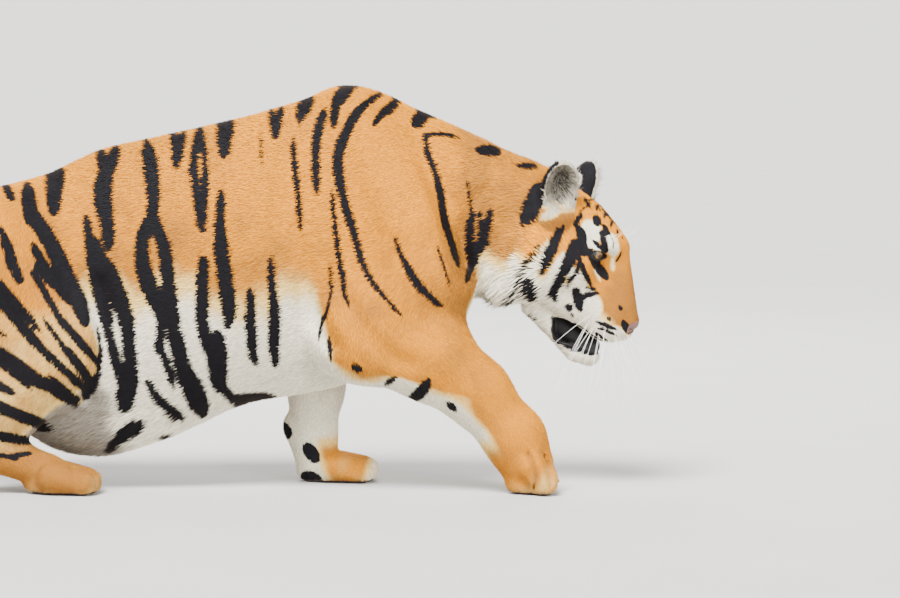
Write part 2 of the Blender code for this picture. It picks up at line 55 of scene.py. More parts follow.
# %% [markdown]
# ## Forms
# The skin has to follow the same body as the solids, only finer, so it is made the same way: the
# animal is a clay of simple forms with smooth joints. Each form answers one question, how far a
# point lies from its surface. Sculpting by hand would give the same look but no exact depth.
# Each form also carries the coat that grows on it: which way the hairs lie and how long they are.

# %% Small helpers for directions and blends
TINY = 1e-9             # keeps a division by nothing from failing


def mix(a, b, t):
    return a + (b - a) * t


def unit(way):
    way = np.asarray(way, float)
    return way / np.linalg.norm(way)


def unit_rows(ways):
    return ways / (np.linalg.norm(ways, axis=1)[:, None] + TINY)


def square_to(way, axis):
    """The part of a direction that is square to an axis, as a unit vector."""
    way = np.asarray(way, float)
    return unit(way - (way @ axis) * axis)


def join(a, b, fillet):
    """Union of two distances, with a fillet of about the given width."""
    reach = np.maximum(fillet - np.abs(a - b), 0.0) / fillet
    return np.minimum(a, b) - reach * reach * fillet * 0.25


def ramp(value, low, high):
    """0 below low, 1 above high and smooth between; high may be the lower of the two."""
    t = np.clip((value - low) / (high - low), 0, 1)
    return t * t * (3 - 2 * t)


# %% Tapers and ellipsoids, for limbs and muscles
class Taper:
    """A ball at each end and a straight taper between them, its width scaled by flat."""

    def __init__(self, start, end, r_start, r_end, flat=1.0):
        self.start, self.end = np.array(start, float), np.array(end, float)
        self.r_start, self.r_end, self.flat = r_start, r_end, flat

    def reach(self):
        half = np.linalg.norm(self.end - self.start) / 2
        return (self.start + self.end) / 2, half + max(self.r_start, self.r_end) * max(1.0, self.flat)

    def distance(self, p):
        middle = (self.start[1] + self.end[1]) / 2
        squash = np.array((1.0, 1.0 / self.flat, 1.0))
        shift = np.array((0.0, middle, 0.0))
        q, a, b = (p - shift) * squash, (self.start - shift) * squash, (self.end - shift) * squash
        line = b - a
        t = np.clip((q - a) @ line / (line @ line), 0, 1)
        away = np.linalg.norm(q - a - t[:, None] * line, axis=1)
        return (away - mix(self.r_start, self.r_end, t)) * min(1.0, self.flat)


class Lump:
    """An ellipsoid: centre, three radii, the way its first axis points and roughly which way is up."""

    def __init__(self, centre, radii, axis=(1, 0, 0), up=(0, 0, 1)):
        self.centre, self.radii = np.array(centre, float), np.array(radii, float)
        x = unit(axis)
        z = square_to(up, x)
        self.axes = np.stack([x, np.cross(z, x), z])

    def reach(self):
        return self.centre, self.radii.max()

    def distance(self, p):
        q = (p - self.centre) @ self.axes.T
        k = np.linalg.norm(q / self.radii, axis=1)
        slope = np.linalg.norm(q / self.radii**2, axis=1)
        return np.where(slope > TINY, k * (k - 1.0) / np.maximum(slope, TINY), -self.radii.min())


print("from (2, 0, 0) to a ball of radius 1:", Lump((0, 0, 0), (1, 1, 1)).distance(np.array([[2.0, 0, 0]])))

# %% A smooth cord, for the tail
FAR = 1.0               # a distance beyond which nothing is of interest


class Cord:
    """A smooth round length through points with radii, without bumps at the points."""

    def __init__(self, points, steps=4):
        p = np.array(points, float)
        p = np.vstack([2 * p[0] - p[1], p, 2 * p[-1] - p[-2]])
        rows = []
        for i in range(1, len(p) - 2):
            a, b, c, d = p[i - 1:i + 3]
            for t in np.arange(steps) / steps:
                bend = (2 * a - 5 * b + 4 * c - d) * t**2 + (3 * b - a - 3 * c + d) * t**3
                rows.append(0.5 * (2 * b + (c - a) * t + bend))
        rows.append(p[-2])
        self.rows = np.array(rows)

    def reach(self):
        centre = (self.rows[:, :3].min(0) + self.rows[:, :3].max(0)) / 2
        return centre, np.linalg.norm(self.rows[:, :3] - centre, axis=1).max() + self.rows[:, 3].max()

    def nearest(self, p):
        """The distance to the surface, the way the cord runs there and how far along it that is."""
        best, way, along = np.full(len(p), FAR), np.zeros((len(p), 3)), np.zeros(len(p))
        done = 0.0
        for a, b in zip(self.rows[:-1], self.rows[1:]):
            line = b[:3] - a[:3]
            length = np.linalg.norm(line)
            t = np.clip((p - a[:3]) @ line / length**2, 0, 1)
            away = np.linalg.norm(p - a[:3] - t[:, None] * line, axis=1) - mix(a[3], b[3], t)
            closer = away < best
            best[closer], way[closer] = away[closer], line / length
            along[closer] = done + t[closer] * length
            done += length
        return best, way, along

    def distance(self, p):
        return self.nearest(p)[0]


# %% A loft of upright sections, for the trunk
class Loft:
    """Upright egg-shaped sections along X, changing smoothly from station to station."""

    ROUND = 2.15        # 2 is an ellipse, more is squarer

    def __init__(self, stations):
        self.rows = np.array(stations, float)

    def reach(self):
        x = self.rows[:, 0]
        return np.array(((x[0] + x[-1]) / 2, 0, 0.4)), (x[-1] - x[0]) / 2 + 0.35

    def at(self, x, column):
        """A smooth cubic through one column of the stations."""
        xs, ys = self.rows[:, 0], self.rows[:, column]
        slope = np.gradient(ys, xs)
        i = np.clip(np.searchsorted(xs, x) - 1, 0, len(xs) - 2)
        h = xs[i + 1] - xs[i]
        t = np.clip((x - xs[i]) / h, 0, 1)
        ease = t * t * (3 - 2 * t)
        bend = (t**3 - 2 * t**2 + t) * h * slope[i] + (t**3 - t**2) * h * slope[i + 1]
        return mix(ys[i], ys[i + 1], ease) + bend

    def distance(self, p):
        x = np.clip(p[:, 0], self.rows[0, 0], self.rows[-1, 0])
        top, bottom, wide, slim = (self.at(x, column) for column in (1, 2, 3, 4))
        middle, tall = (top + bottom) / 2, (top - bottom) / 2
        rise = (p[:, 2] - middle) / tall
        level = np.clip(rise, -1, 1)
        wide = wide * (1 - slim * level - 0.06 * level**2)
        q = ((np.abs(p[:, 1]) / wide)**self.ROUND + np.abs(rise)**self.ROUND)**(1 / self.ROUND)
        spoke = np.hypot(p[:, 1], p[:, 2] - middle) / np.maximum(q, 1e-6)
        d = (q - 1) * np.minimum(spoke, np.maximum(tall, wide))
        past = np.abs(p[:, 0] - x)
        return np.where(past > 0, np.hypot(np.maximum(d, 0), past), d)


# %% A turned frame for the head, and forms placed in it
class Frame:
    """A frame at an origin, turned about its own forward, left and up ways."""

    def __init__(self, origin, yaw, pitch, roll):
        turns = [Matrix.Rotation(angle, 3, axis) for angle, axis in ((yaw, "Z"), (pitch, "Y"), (roll, "X"))]
        self.turn, self.origin = np.array(turns[0] @ turns[1] @ turns[2]), np.array(origin)

    def outward(self, q):
        return np.asarray(q) @ self.turn.T + self.origin

    def inward(self, p):
        return (p - self.origin) @ self.turn


class Placed:
    """A form in a frame of its own, mirrored to the other side when both is set."""

    def __init__(self, form, place, both):
        self.form, self.place, self.both = form, place, both

    def reach(self):
        centre, radius = self.form.reach()
        if self.both:
            radius += abs(centre[1])
            centre = centre * (1, 0, 1)
        return self.place.outward(centre), radius

    def distance(self, p):
        q = self.place.inward(p)
        if self.both:
            q[:, 1] = np.abs(q[:, 1])
        return self.form.distance(q)


# %% The clay, which remembers the coat on each form
REGIONS = ["trunk", "head", "ear", "right_foreleg", "left_foreleg", "right_hind_leg", "left_hind_leg", "tail"]


class Clay:
    """Forms added in turn, each with its fillet and its coat: region, hair length and lie."""

    BLEND = 0.012       # how far the coat of one form fades into the next
    MARGIN = 0.05       # how far beyond its own reach and fillet a form is worked out

    def __init__(self):
        self.steps = []
        self.coat = ("trunk", 0.017, (-1, 0, -0.2))

    def add(self, form, fillet):
        self.steps.append((form, fillet, *self.coat))

    def survey(self, p):
        """For each point: distance, hair length, lie of the coat, region of the nearest form, and how
        much of the coat there belongs to a limb."""
        d, nearest, weights = np.full(len(p), FAR), np.full(len(p), FAR), np.full(len(p), TINY)
        hair, limbs, region = np.zeros(len(p)), np.zeros(len(p)), np.zeros(len(p), int)
        lie = np.zeros((len(p), 3))
        for form, fillet, name, length, way in self.steps:
            centre, radius = form.reach()
            near = np.flatnonzero(((p - centre)**2).sum(1) < (radius + fillet + self.MARGIN)**2)
            if not len(near):
                continue
            own = form.distance(p[near])
            d[near] = join(d[near], own, fillet)
            weight = np.exp(-np.maximum(own, 0) / self.BLEND)
            weights[near] += weight
            hair[near] += weight * length
            limbs[near] += weight * name.endswith("leg")
            if isinstance(way, str):            # along a cord
                lie[near] += weight[:, None] * form.nearest(p[near])[1]
            elif len(way) == 4:                 # away from a point
                lie[near] += weight[:, None] * unit_rows(p[near] - way[:3])
            else:
                lie[near] += weight[:, None] * unit(way)
            closer = own < nearest[near]
            region[near[closer]] = REGIONS.index(name)
            nearest[near[closer]] = own[closer]
        return d, hair / weights, lie / weights[:, None], region, limbs / weights


# %% [markdown]
# ## The animal
# The same forms as the solids: a loft for the trunk, tapers from joint to joint for the limbs, and
# ellipsoids for muscles. What is new is the coat plan in front of each group. A tiger's coat is
# short and flat on the face and the feet, about two centimetres on the flank, and longest in the
# ruff behind the cheeks and along the belly. It lies from the nose back and down to the toes.

# %% Driving sizes
WITHERS = 0.850         # height of the shoulder
TRACK = 0.117           # from the middle of the body to the middle of a paw
EYE_RADIUS = 0.0175
HEAD_ORIGIN = (0.634, -0.025, 0.492)
HEAD_YAW, HEAD_PITCH, HEAD_ROLL = radians(-20), radians(38), radians(-3)
EYE = np.array((-0.007, 0.048, 0.003))
GAZE = (0.90, 0.42, 0.08)
EAR_BASE = np.array((-0.122, 0.078, 0.030))
EAR_TIP_WAY = (-0.048, 0.024, 0.102)
EAR_OPEN_WAY = (0.55, 0.80, 0.20)
NOSE_TIP = (0.146, 0.0, -0.074)
PAWS = {        # knuckles and tips of the toes (forward, up), side, spread, radius at knuckles and tips
    "right_foreleg": ((0.486, 0.062), (0.514, 0.028), -TRACK, 0.046, 0.036, 0.029),
    "left_foreleg": ((0.060, 0.034), (0.140, 0.025), TRACK, 0.048, 0.031, 0.026),
    "right_hind_leg": ((-0.510, 0.038), (-0.432, 0.025), -TRACK, 0.046, 0.032, 0.026),
    "left_hind_leg": ((-0.890, 0.042), (-0.812, 0.025), TRACK, 0.046, 0.032, 0.026),
}

TRUNK = (       # forward, top, bottom, half width, how much slimmer towards the top
    (-0.80, 0.475, 0.400, 0.045, 0.00),     # root of the tail
    (-0.76, 0.530, 0.330, 0.086, 0.05),
    (-0.69, 0.592, 0.260, 0.122, 0.08),
    (-0.61, 0.632, 0.215, 0.135, 0.10),     # hips
    (-0.52, 0.666, 0.160, 0.144, 0.10),
    (-0.42, 0.712, 0.110, 0.160, 0.08),     # loose skin of the belly
    (-0.31, 0.738, 0.118, 0.171, 0.06),
    (-0.21, 0.760, 0.140, 0.173, 0.06),
    (-0.10, 0.786, 0.178, 0.169, 0.10),     # last ribs
    (0.00, 0.815, 0.195, 0.160, 0.16),
    (0.09, 0.838, 0.215, 0.151, 0.24),      # withers
    (0.17, 0.832, 0.250, 0.140, 0.28),
    (0.25, 0.796, 0.325, 0.126, 0.20),      # root of the neck
    (0.33, 0.762, 0.385, 0.113, 0.10),
    (0.41, 0.724, 0.405, 0.105, 0.05),
    (0.48, 0.684, 0.425, 0.090, 0.02),      # nape
    (0.54, 0.640, 0.465, 0.063, 0.02),
)
TAIL = (        # forward, left, up, radius
    (-0.755, 0.000, 0.520, 0.046),
    (-0.840, 0.002, 0.455, 0.040),
    (-0.925, 0.010, 0.350, 0.034),
    (-1.005, 0.020, 0.245, 0.031),
    (-1.105, 0.030, 0.165, 0.029),
    (-1.225, 0.038, 0.130, 0.027),
    (-1.335, 0.044, 0.155, 0.025),
    (-1.415, 0.048, 0.225, 0.021),
)
tail = Cord(TAIL)
skull = Frame(HEAD_ORIGIN, HEAD_YAW, HEAD_PITCH, HEAD_ROLL)
FROM_NOSE = (*skull.outward(NOSE_TIP), 1)       # hair that lies away from the nose
print("shoulder height:", WITHERS, "m, tip of the nose at", skull.outward(NOSE_TIP).round(3))


# %% Trunk and limbs
def limb(clay, region, hairs, joints, first_fillet=0.05, fillet=0.03):
    """Tapers from joint to joint. A joint is a place, a radius and how flat the limb is there."""
    for i, (a, b) in enumerate(zip(joints[:-1], joints[1:])):
        down = unit(np.subtract(b[0], a[0]))
        back_and_down = down + (-0.15, 0, -0.25)
        clay.coat = (region, hairs[min(i, len(hairs) - 1)], back_and_down)
        clay.add(Taper(a[0], b[0], a[1], b[1], a[2]), fillet if i else first_fillet)


def toes(clay, region):
    """Four toes from the knuckles to the tips, the middle two the longest."""
    knuckles, tips, side, spread, r_knuckle, r_tip = PAWS[region]
    clay.coat = (region, 0.0055, (0.9, 0, -0.5))
    for i in range(4):
        s = (i - 1.5) / 1.5
        reach = 1.0 - 0.16 * s * s
        a = (knuckles[0], side + s * spread * 0.8, knuckles[1])
        b = (mix(knuckles[0], tips[0], reach), side + s * spread, tips[1])
        clay.add(Taper(a, b, r_knuckle, r_tip, 0.95), 0.012)


def pad(clay, forward, side, length):
    clay.add(Lump((forward, side, 0.016), (length, 0.040, 0.020)), 0.02)


def trunk(clay):
    clay.coat = ("trunk", 0.017, (-1, 0, -0.22))
    clay.add(Loft(TRUNK), 0.01)
    clay.coat = ("trunk", 0.014, (-0.8, 0, -0.5))
    for s, back in ((-1, 0.0), (1, -0.03)):
        top = (0.115 + back, s * 0.046, WITHERS - 0.060)
        clay.add(Taper(top, (0.235 + back, s * 0.110, 0.560), 0.042, 0.075, 0.8), 0.06)
    clay.coat = ("trunk", 0.015, (-0.8, 0, -0.6))
    for s in (-1, 1):
        clay.add(Lump((-0.585, s * 0.078, 0.540), (0.110, 0.057, 0.085)), 0.08)
        clay.add(Lump((-0.735, s * 0.055, 0.430), (0.070, 0.057, 0.095)), 0.07)
    clay.coat = ("trunk", 0.026, (-1, 0, -0.3))
    clay.add(Lump((-0.440, 0, 0.190), (0.170, 0.106, 0.125), axis=(1, 0, -0.06)), 0.06)
    clay.add(Lump((-0.310, 0, 0.205), (0.130, 0.110, 0.090), axis=(1, 0, 0.08)), 0.05)


def right_foreleg(clay):
    name = "right_foreleg"
    limb(clay, name, (0.014,), (
        ((0.262, -0.115, 0.440), 0.110, 0.75), ((0.130, -0.136, 0.322), 0.083, 0.75)))
    limb(clay, name, (0.012, 0.010, 0.008, 0.007), (
        ((0.118, -0.138, 0.330), 0.078, 0.72), ((0.277, -0.138, 0.283), 0.086, 0.72),
        ((0.368, -0.132, 0.214), 0.067, 0.80), ((0.448, -0.122, 0.118), 0.060, 0.90),
        ((0.474, -TRACK, 0.062), 0.056, 1.00)))
    toes(clay, name)
    pad(clay, 0.478, -TRACK, 0.045)


def left_foreleg(clay):
    name = "left_foreleg"
    limb(clay, name, (0.014, 0.011, 0.009, 0.007), (
        ((0.225, 0.115, 0.440), 0.100, 0.75), ((0.045, 0.136, 0.345), 0.072, 0.80),
        ((0.030, 0.124, 0.195), 0.055, 0.85), ((0.022, 0.115, 0.105), 0.047, 1.00),
        ((0.030, 0.110, 0.048), 0.045, 1.10)))
    clay.add(Lump((-0.022, 0.112, 0.118), (0.018, 0.017, 0.024)), 0.02)     # the pad behind the wrist
    toes(clay, name)
    pad(clay, 0.045, TRACK, 0.055)


def right_hind_leg(clay):
    name = "right_hind_leg"
    clay.coat = (name, 0.014, (-0.35, 0, -1))
    clay.add(Taper((-0.650, -0.097, 0.455), (-0.500, -0.133, 0.300), 0.150, 0.088, 0.62), 0.06)
    limb(clay, name, (0.012, 0.010), (
        ((-0.500, -0.138, 0.290), 0.080, 0.75), ((-0.600, -0.131, 0.190), 0.070, 0.72),
        ((-0.690, -0.121, 0.105), 0.038, 0.90)))
    limb(clay, name, (0.008,), (
        ((-0.690, -0.121, 0.095), 0.036, 0.90), ((-0.520, -0.121, 0.048), 0.036, 1.15)))
    toes(clay, name)
    pad(clay, -0.515, -TRACK, 0.055)


def left_hind_leg(clay):
    name = "left_hind_leg"
    clay.coat = (name, 0.014, (-0.35, 0, -1))
    clay.add(Taper((-0.650, 0.097, 0.450), (-0.530, 0.133, 0.265), 0.145, 0.086, 0.62), 0.06)
    limb(clay, name, (0.012, 0.010), (
        ((-0.530, 0.133, 0.250), 0.080, 0.75), ((-0.665, 0.127, 0.215), 0.068, 0.75),
        ((-0.790, 0.118, 0.195), 0.039, 0.85)))
    limb(clay, name, (0.008,), (
        ((-0.790, 0.118, 0.190), 0.037, 0.85), ((-0.885, 0.114, 0.060), 0.036, 1.15)))
    toes(clay, name)
    pad(clay, -0.880, TRACK, 0.045)


# %% The head
ear_tip = unit(EAR_TIP_WAY)
ear_out = square_to(EAR_OPEN_WAY, ear_tip)
ear_rear = np.cross(ear_tip, ear_out)
ear_rear = -ear_rear * np.sign(ear_rear[0])
ear_middle = EAR_BASE + 0.046 * ear_tip

HEAD_FORMS = (      # in the head's frame: form, fillet, length of the hair, and whether on both sides
    (Lump((-0.160, 0, -0.035), (0.110, 0.103, 0.105)), 0.07, 0.022, False),         # back of the skull
    (Lump((-0.080, 0, 0.003), (0.100, 0.078, 0.076)), 0.03, 0.009, False),          # crown
    (Lump((-0.020, 0, 0.017), (0.058, 0.056, 0.048)), 0.02, 0.006, False),          # forehead
    (Taper((0.012, 0, 0.020), (0.108, 0, -0.057), 0.035, 0.026), 0.02, 0.0035, False),      # bridge
    (Taper((0.015, 0.030, -0.070), (0.095, 0.020, -0.084), 0.048, 0.040), 0.02, 0.0035, True),      # muzzle
    (Lump((0.132, 0, -0.071), (0.023, 0.025, 0.020)), 0.015, 0.0035, False),        # nose
    (Lump((0.108, 0.026, -0.098), (0.042, 0.033, 0.037)), 0.010, 0.0035, True),     # whisker pads
    (Lump((-0.035, 0.070, -0.045), (0.062, 0.036, 0.044)), 0.03, 0.008, True),      # cheekbones
    (Lump((-0.072, 0.080, -0.088), (0.070, 0.044, 0.080)), 0.03, 0.015, True),      # cheeks
    (Taper((-0.005, 0.044, -0.120), (0.085, 0.026, -0.108), 0.036, 0.034), 0.03, 0.006, True),      # lips
    (Lump((0.002, 0.040, 0.034), (0.030, 0.022, 0.016)), 0.02, 0.006, True),        # brows
    (Taper((-0.040, 0.042, -0.163), (0.085, 0.016, -0.196), 0.031, 0.021), 0.02, 0.012, True),      # jaw
    (Lump((0.107, 0, -0.183), (0.028, 0.029, 0.025)), 0.02, 0.009, False),          # chin
    (Lump((-0.110, 0.100, -0.112), (0.058, 0.042, 0.092), axis=(1, 0, 0.3)), 0.04, 0.032, True),    # ruff
    (Lump(EYE, (0.021, 0.021, 0.021)), 0.014, 0.003, True),                         # lids
)
EAR_FORMS = (       # the same for the ears, which share one length of hair
    (Taper(EAR_BASE - 0.015 * ear_tip, EAR_BASE + 0.012 * ear_tip, 0.040, 0.030), 0.03),
    (Lump(ear_middle, (0.057, 0.042, 0.030), ear_tip, ear_out), 0.02),
)


def head(clay):
    for form, fillet, hair, both in HEAD_FORMS:
        clay.coat = ("head", hair, FROM_NOSE)
        clay.add(Placed(form, skull, both), fillet)
    clay.coat = ("ear", 0.010, FROM_NOSE)
    for form, fillet in EAR_FORMS:
        clay.add(Placed(form, skull, True), fillet)


clay = Clay()
trunk(clay)
right_foreleg(clay)
left_foreleg(clay)
right_hind_leg(clay)
left_hind_leg(clay)
clay.coat = ("tail", 0.015, "along")
clay.add(tail, 0.05)
head(clay)
print("forms in the clay:", len(clay.steps))

# %% [markdown]
# ## Openings in the face
# The mouth hangs a little open, the ears are hollow, and each eye looks out between two lids. In
# flesh these are edges of skin, so they are cut at their exact size after the coat's depth is taken
# off. A Boolean would do it too, but here it is one more distance, and it costs nothing.

# %% Mouth, ears, lids and nostrils
gaze = unit(GAZE)
lid_up = square_to((0.10, 0.25, 1.0), gaze)
eye_opening = Lump(EYE + 0.017 * gaze, (0.0165, 0.012, 0.0085), np.cross(lid_up, gaze), lid_up)
eye_ball = Lump(EYE, (EYE_RADIUS, EYE_RADIUS, EYE_RADIUS))
mouth_parts = [
    Taper((0.012, 0, -0.160), (0.045, 0, -0.168), 0.009, 0.026, 5.0),
    Taper((0.045, 0, -0.168), (0.088, 0, -0.158), 0.026, 0.016, 5.0),
    Taper((0.088, 0, -0.158), (0.160, 0, -0.144), 0.016, 0.011, 5.0),
]
mouth_floor = Taper((0.000, 0, -0.174), (0.100, 0, -0.165), 0.032, 0.020, 0.9)
ear_hollow = Lump(ear_middle + 0.014 * ear_out, (0.049, 0.034, 0.031), ear_tip, ear_out)
nostril = Lump((0.149, 0.0125, -0.083), (0.011, 0.0052, 0.0062), (0.8, 0.6, 0.25), (0, -0.3, 1))
nose_groove = Taper((0.156, 0, -0.076), (0.150, 0, -0.104), 0.0016, 0.0022)


def mouth_distance(q):
    return np.min([part.distance(q) for part in mouth_parts], axis=0)


def halved(q):
    """Points of the head folded onto its left half."""
    return np.column_stack([q[:, 0], np.abs(q[:, 1]), q[:, 2]])


def carve(d, q):
    """The head's distances with its openings cut."""
    half = halved(q)
    d = np.maximum(d, -mouth_distance(q))
    d = np.minimum(d, np.maximum(mouth_floor.distance(q), -0.05 - q[:, 0]))
    for form in (ear_hollow, eye_opening, nostril, nose_groove):
        d = -join(-d, form.distance(half), 0.003)
    return d


print("the mouth is cut by", len(mouth_parts), "tapers, the widest", 2000 * mouth_parts[1].r_start, "mm high")

# %% [markdown]
# ## Folds and muscles
# Skin sinks into folds behind the shoulder, before it and at the thigh, and rises over muscles.
# Each is a gentle arc between two places on the side, with a bow and a greatest width, and the
# skin is moved a few millimetres along it. Arcs like these draw the stripes later on.

# %% Arcs on the side
def arc(x1, z1, x2, z2, bow, width, first=0.0, last=0.0, count=9):
    """Places along an arc with the half width at each. First and last are the width left at its ends."""
    t = np.linspace(0, 1, count)
    length = np.hypot(x2 - x1, z2 - z1)
    lift = 4 * bow * t * (1 - t) / length
    x = mix(x1, x2, t) - lift * (z2 - z1)
    z = mix(z1, z2, t) + lift * (x2 - x1)
    left_over = np.where(t < 0.5, first, last)
    return np.stack([x, z], 1), width / 2 * (1 - (1 - left_over) * np.abs(2 * t - 1)**3)


NEAR_END = 0.006        # an arc that ends this near another one runs on in it


def chained(rows, bold):
    """Arcs that keep their width where one ends on another, and are pointed elsewhere."""
    plain_arcs = [arc(*row) for row in rows]
    lines = []
    for i, row in enumerate(rows):
        kept = []
        for end in (row[0:2], row[2:4]):
            share = 0.0
            for j, (places, _) in enumerate(plain_arcs):
                touch = np.linalg.norm(places - end, axis=1).min() < rows[j][5] / 2 + NEAR_END
                if j != i and touch:
                    share = max(share, min(1.0, rows[j][5] / row[5]))
            kept.append(share)
        lines.append(arc(*row[:5], row[5] * bold, *kept))
    return lines


BLEED = 0.002       # a gap between two stripes narrower than about twice this fills
FELT = 0.03         # further from a stripe than this, nothing tells how far it is


def within(points, lines):
    """Half width less distance to the nearest of many lines, in metres, a little more between two."""
    total = np.full(len(points), np.exp(-FELT / BLEED))
    for places, half in lines:
        margin = FELT + half.max()
        low, high = places.min(0) - margin, places.max(0) + margin
        near = np.flatnonzero(((points > low) & (points < high)).all(1))
        p = points[near]
        best = np.full(len(near), -FELT)
        for a, b, wa, wb in zip(places[:-1], places[1:], half[:-1], half[1:]):
            line = b - a
            t = np.clip((p - a) @ line / max(line @ line, 1e-12), 0, 1)
            away = np.linalg.norm(p - a - t[:, None] * line, axis=1)
            best = np.maximum(best, mix(wa, wb, t) - away)
        total[near] += np.exp(best / BLEED)
    return BLEED * np.log(total)


SIDE_CENTRE, SIDE_AWAY = np.array((0.315, 0.397)), 9.0
SIDE_LEAN = 0.07        # how much lower a point is seen for each metre it lies nearer


def side_view(p):
    """Forward and up as seen from nine metres off the right side, a little from above."""
    flat = np.stack([p[:, 0], p[:, 2] + SIDE_LEAN * p[:, 1]], 1)
    return SIDE_CENTRE + (flat - SIDE_CENTRE) * (SIDE_AWAY / (SIDE_AWAY + p[:, 1:2]))


# %% Folds and muscles, each an arc and its depth
RELIEF = (      # from (forward, up) to (forward, up), bow, width, how gently it ends, depth
    ((0.250, 0.740, 0.345, 0.450, 0.010, 0.010), 0.040, 0.013),     # before the shoulder
    ((0.385, 0.620, 0.350, 0.480, -0.010, 0.008), 0.030, 0.010),    # neck
    ((0.330, 0.690, 0.330, 0.600, -0.010, 0.006), 0.025, 0.005),
    ((-0.020, 0.690, 0.010, 0.460, -0.020, 0.010), 0.050, 0.012),   # behind the shoulder
    ((0.010, 0.430, 0.075, 0.300, -0.010, 0.008), 0.030, 0.012),    # elbow
    ((0.110, 0.380, 0.230, 0.260, -0.020, 0.006), 0.030, 0.007),
    ((-0.420, 0.430, -0.440, 0.200, 0.020, 0.008), 0.035, 0.012),   # before the thigh
    ((-0.560, 0.560, -0.470, 0.420, 0.010, 0.006), 0.050, 0.007),
    ((0.130, 0.800, 0.190, 0.560, -0.010, 0.010), 0.045, -0.005),   # shoulder blade
    ((0.050, 0.600, 0.120, 0.420, 0.000, 0.030), 0.050, -0.006),    # upper arm
    ((0.230, 0.560, 0.210, 0.400, 0.000, 0.030), 0.050, -0.005),
    ((0.250, 0.300, 0.370, 0.200, 0.010, 0.010), 0.035, -0.004),    # forearm
    ((-0.600, 0.440, -0.500, 0.320, 0.010, 0.050), 0.060, -0.006),  # thigh
    ((-0.350, 0.600, -0.160, 0.640, 0.010, 0.040), 0.060, -0.005),  # flank
)
TOE_RELIEF = (  # the same, for the toes seen from outside
    ((0.478, 0.072, 0.494, 0.000, 0.006, 0.003), 0.009, 0.010),     # right forepaw
    ((0.508, 0.072, 0.524, 0.000, 0.006, 0.003), 0.008, 0.009),
    ((0.085, 0.060, 0.098, 0.000, 0.003, 0.003), 0.009, 0.006),     # left forepaw
    ((-0.490, 0.060, -0.475, 0.000, 0.003, 0.003), 0.009, 0.006),   # hind paws
    ((-0.870, 0.060, -0.855, 0.000, 0.003, 0.003), 0.009, 0.006),
)
toe_lines = [arc(*row) for row, _, _ in TOE_RELIEF]


def between_toes(paw):
    """Cuts between the four toes of a paw, along their tops and down their fronts."""
    knuckles, tips, side, spread, _, r_tip = paw
    cuts = []
    for i in range(3):
        y = side + (i - 1) * spread * 2 / 3
        top = tips[1] + r_tip * 0.92
        front = tips[0] + r_tip * 0.86
        start = (mix(knuckles[0], tips[0], 0.60), y, mix(knuckles[1], tips[1], 0.60) + r_tip * 1.1)
        cuts.append(Taper(start, (tips[0] + r_tip * 0.35, y, top), 0.0003, 0.0055))
        cuts.append(Taper((tips[0] + r_tip * 0.35, y, top), (front, y, tips[1]), 0.0055, 0.0065))
        cuts.append(Taper((front, y, tips[1]), (front, y, 0), 0.0065, 0.005))
    return cuts


toe_cuts = [cut for paw in PAWS.values() for cut in between_toes(paw)]
print("folds and muscles:", len(RELIEF), "and cuts between the toes:", len(toe_cuts))

# %% [markdown]
# ## The skin
# The clay is wrapped in one closed surface by a grid: wherever a grid edge crosses the surface, a
# face is laid across it, and each corner goes to the middle of the crossings around it. The head
# needs finer detail than the body, so the skin is made in two lengths that slide under each other
# behind the ears, where nothing shows. The coat's depth is taken off first, from the hair's length.

# %% Where head and body skins meet
NECK_PLACE, NECK_WAY = np.array((0.468, 0.0, 0.520)), unit((0.973, -0.10, -0.229))
THROAT_PLACE, THROAT_WAY = np.array((0.400, 0.0, 0.305)), unit((0.42, 0, 1))
OVERLAP = 0.02              # how far the two lengths run under each other
TUCK = 0.15                 # how steeply the covered end goes down
COAT_DEPTH = 0.42           # of the hair's length


def into_head(p):
    """How far a point is on the head's side of the neck."""
    return np.minimum((p - NECK_PLACE) @ NECK_WAY, (p - THROAT_PLACE) @ THROAT_WAY)


def relief(p):
    """How much deeper the skin lies in folds, and higher over muscles, seen from the side."""
    uv = side_view(p)
    outside = ramp(np.abs(p[:, 1]), TRACK + 0.010, TRACK + 0.026)

    def depths(rows, share):
        return [depth * ramp(within(uv, [arc(*row)]), -width, 0) * share for row, width, depth in rows]

    return sum(depths(RELIEF, 1) + depths(TOE_RELIEF, outside))


def skin_distance(p, part):
    """How far points lie from the head's or the body's skin, with its folds, cuts and openings."""
    d, hair = clay.survey(p)[:2]
    if part == "body":
        close = np.abs(d) < 0.03
        d[close] += relief(p[close])
        for cut in toe_cuts:
            centre, radius = cut.reach()
            close = ((p - centre)**2).sum(1) < (radius + 0.03)**2
            d[close] = -join(-d[close], cut.distance(p[close]), 0.006)
    ahead = into_head(p) * (1 if part == "head" else -1)
    d = d + COAT_DEPTH * hair + TUCK * np.clip(-ahead, 0, OVERLAP)
    if part == "head":
        close = d < 0.06
        d[close] = carve(d[close], skull.inward(p[close]))
    return np.maximum(d, -ahead - OVERLAP)


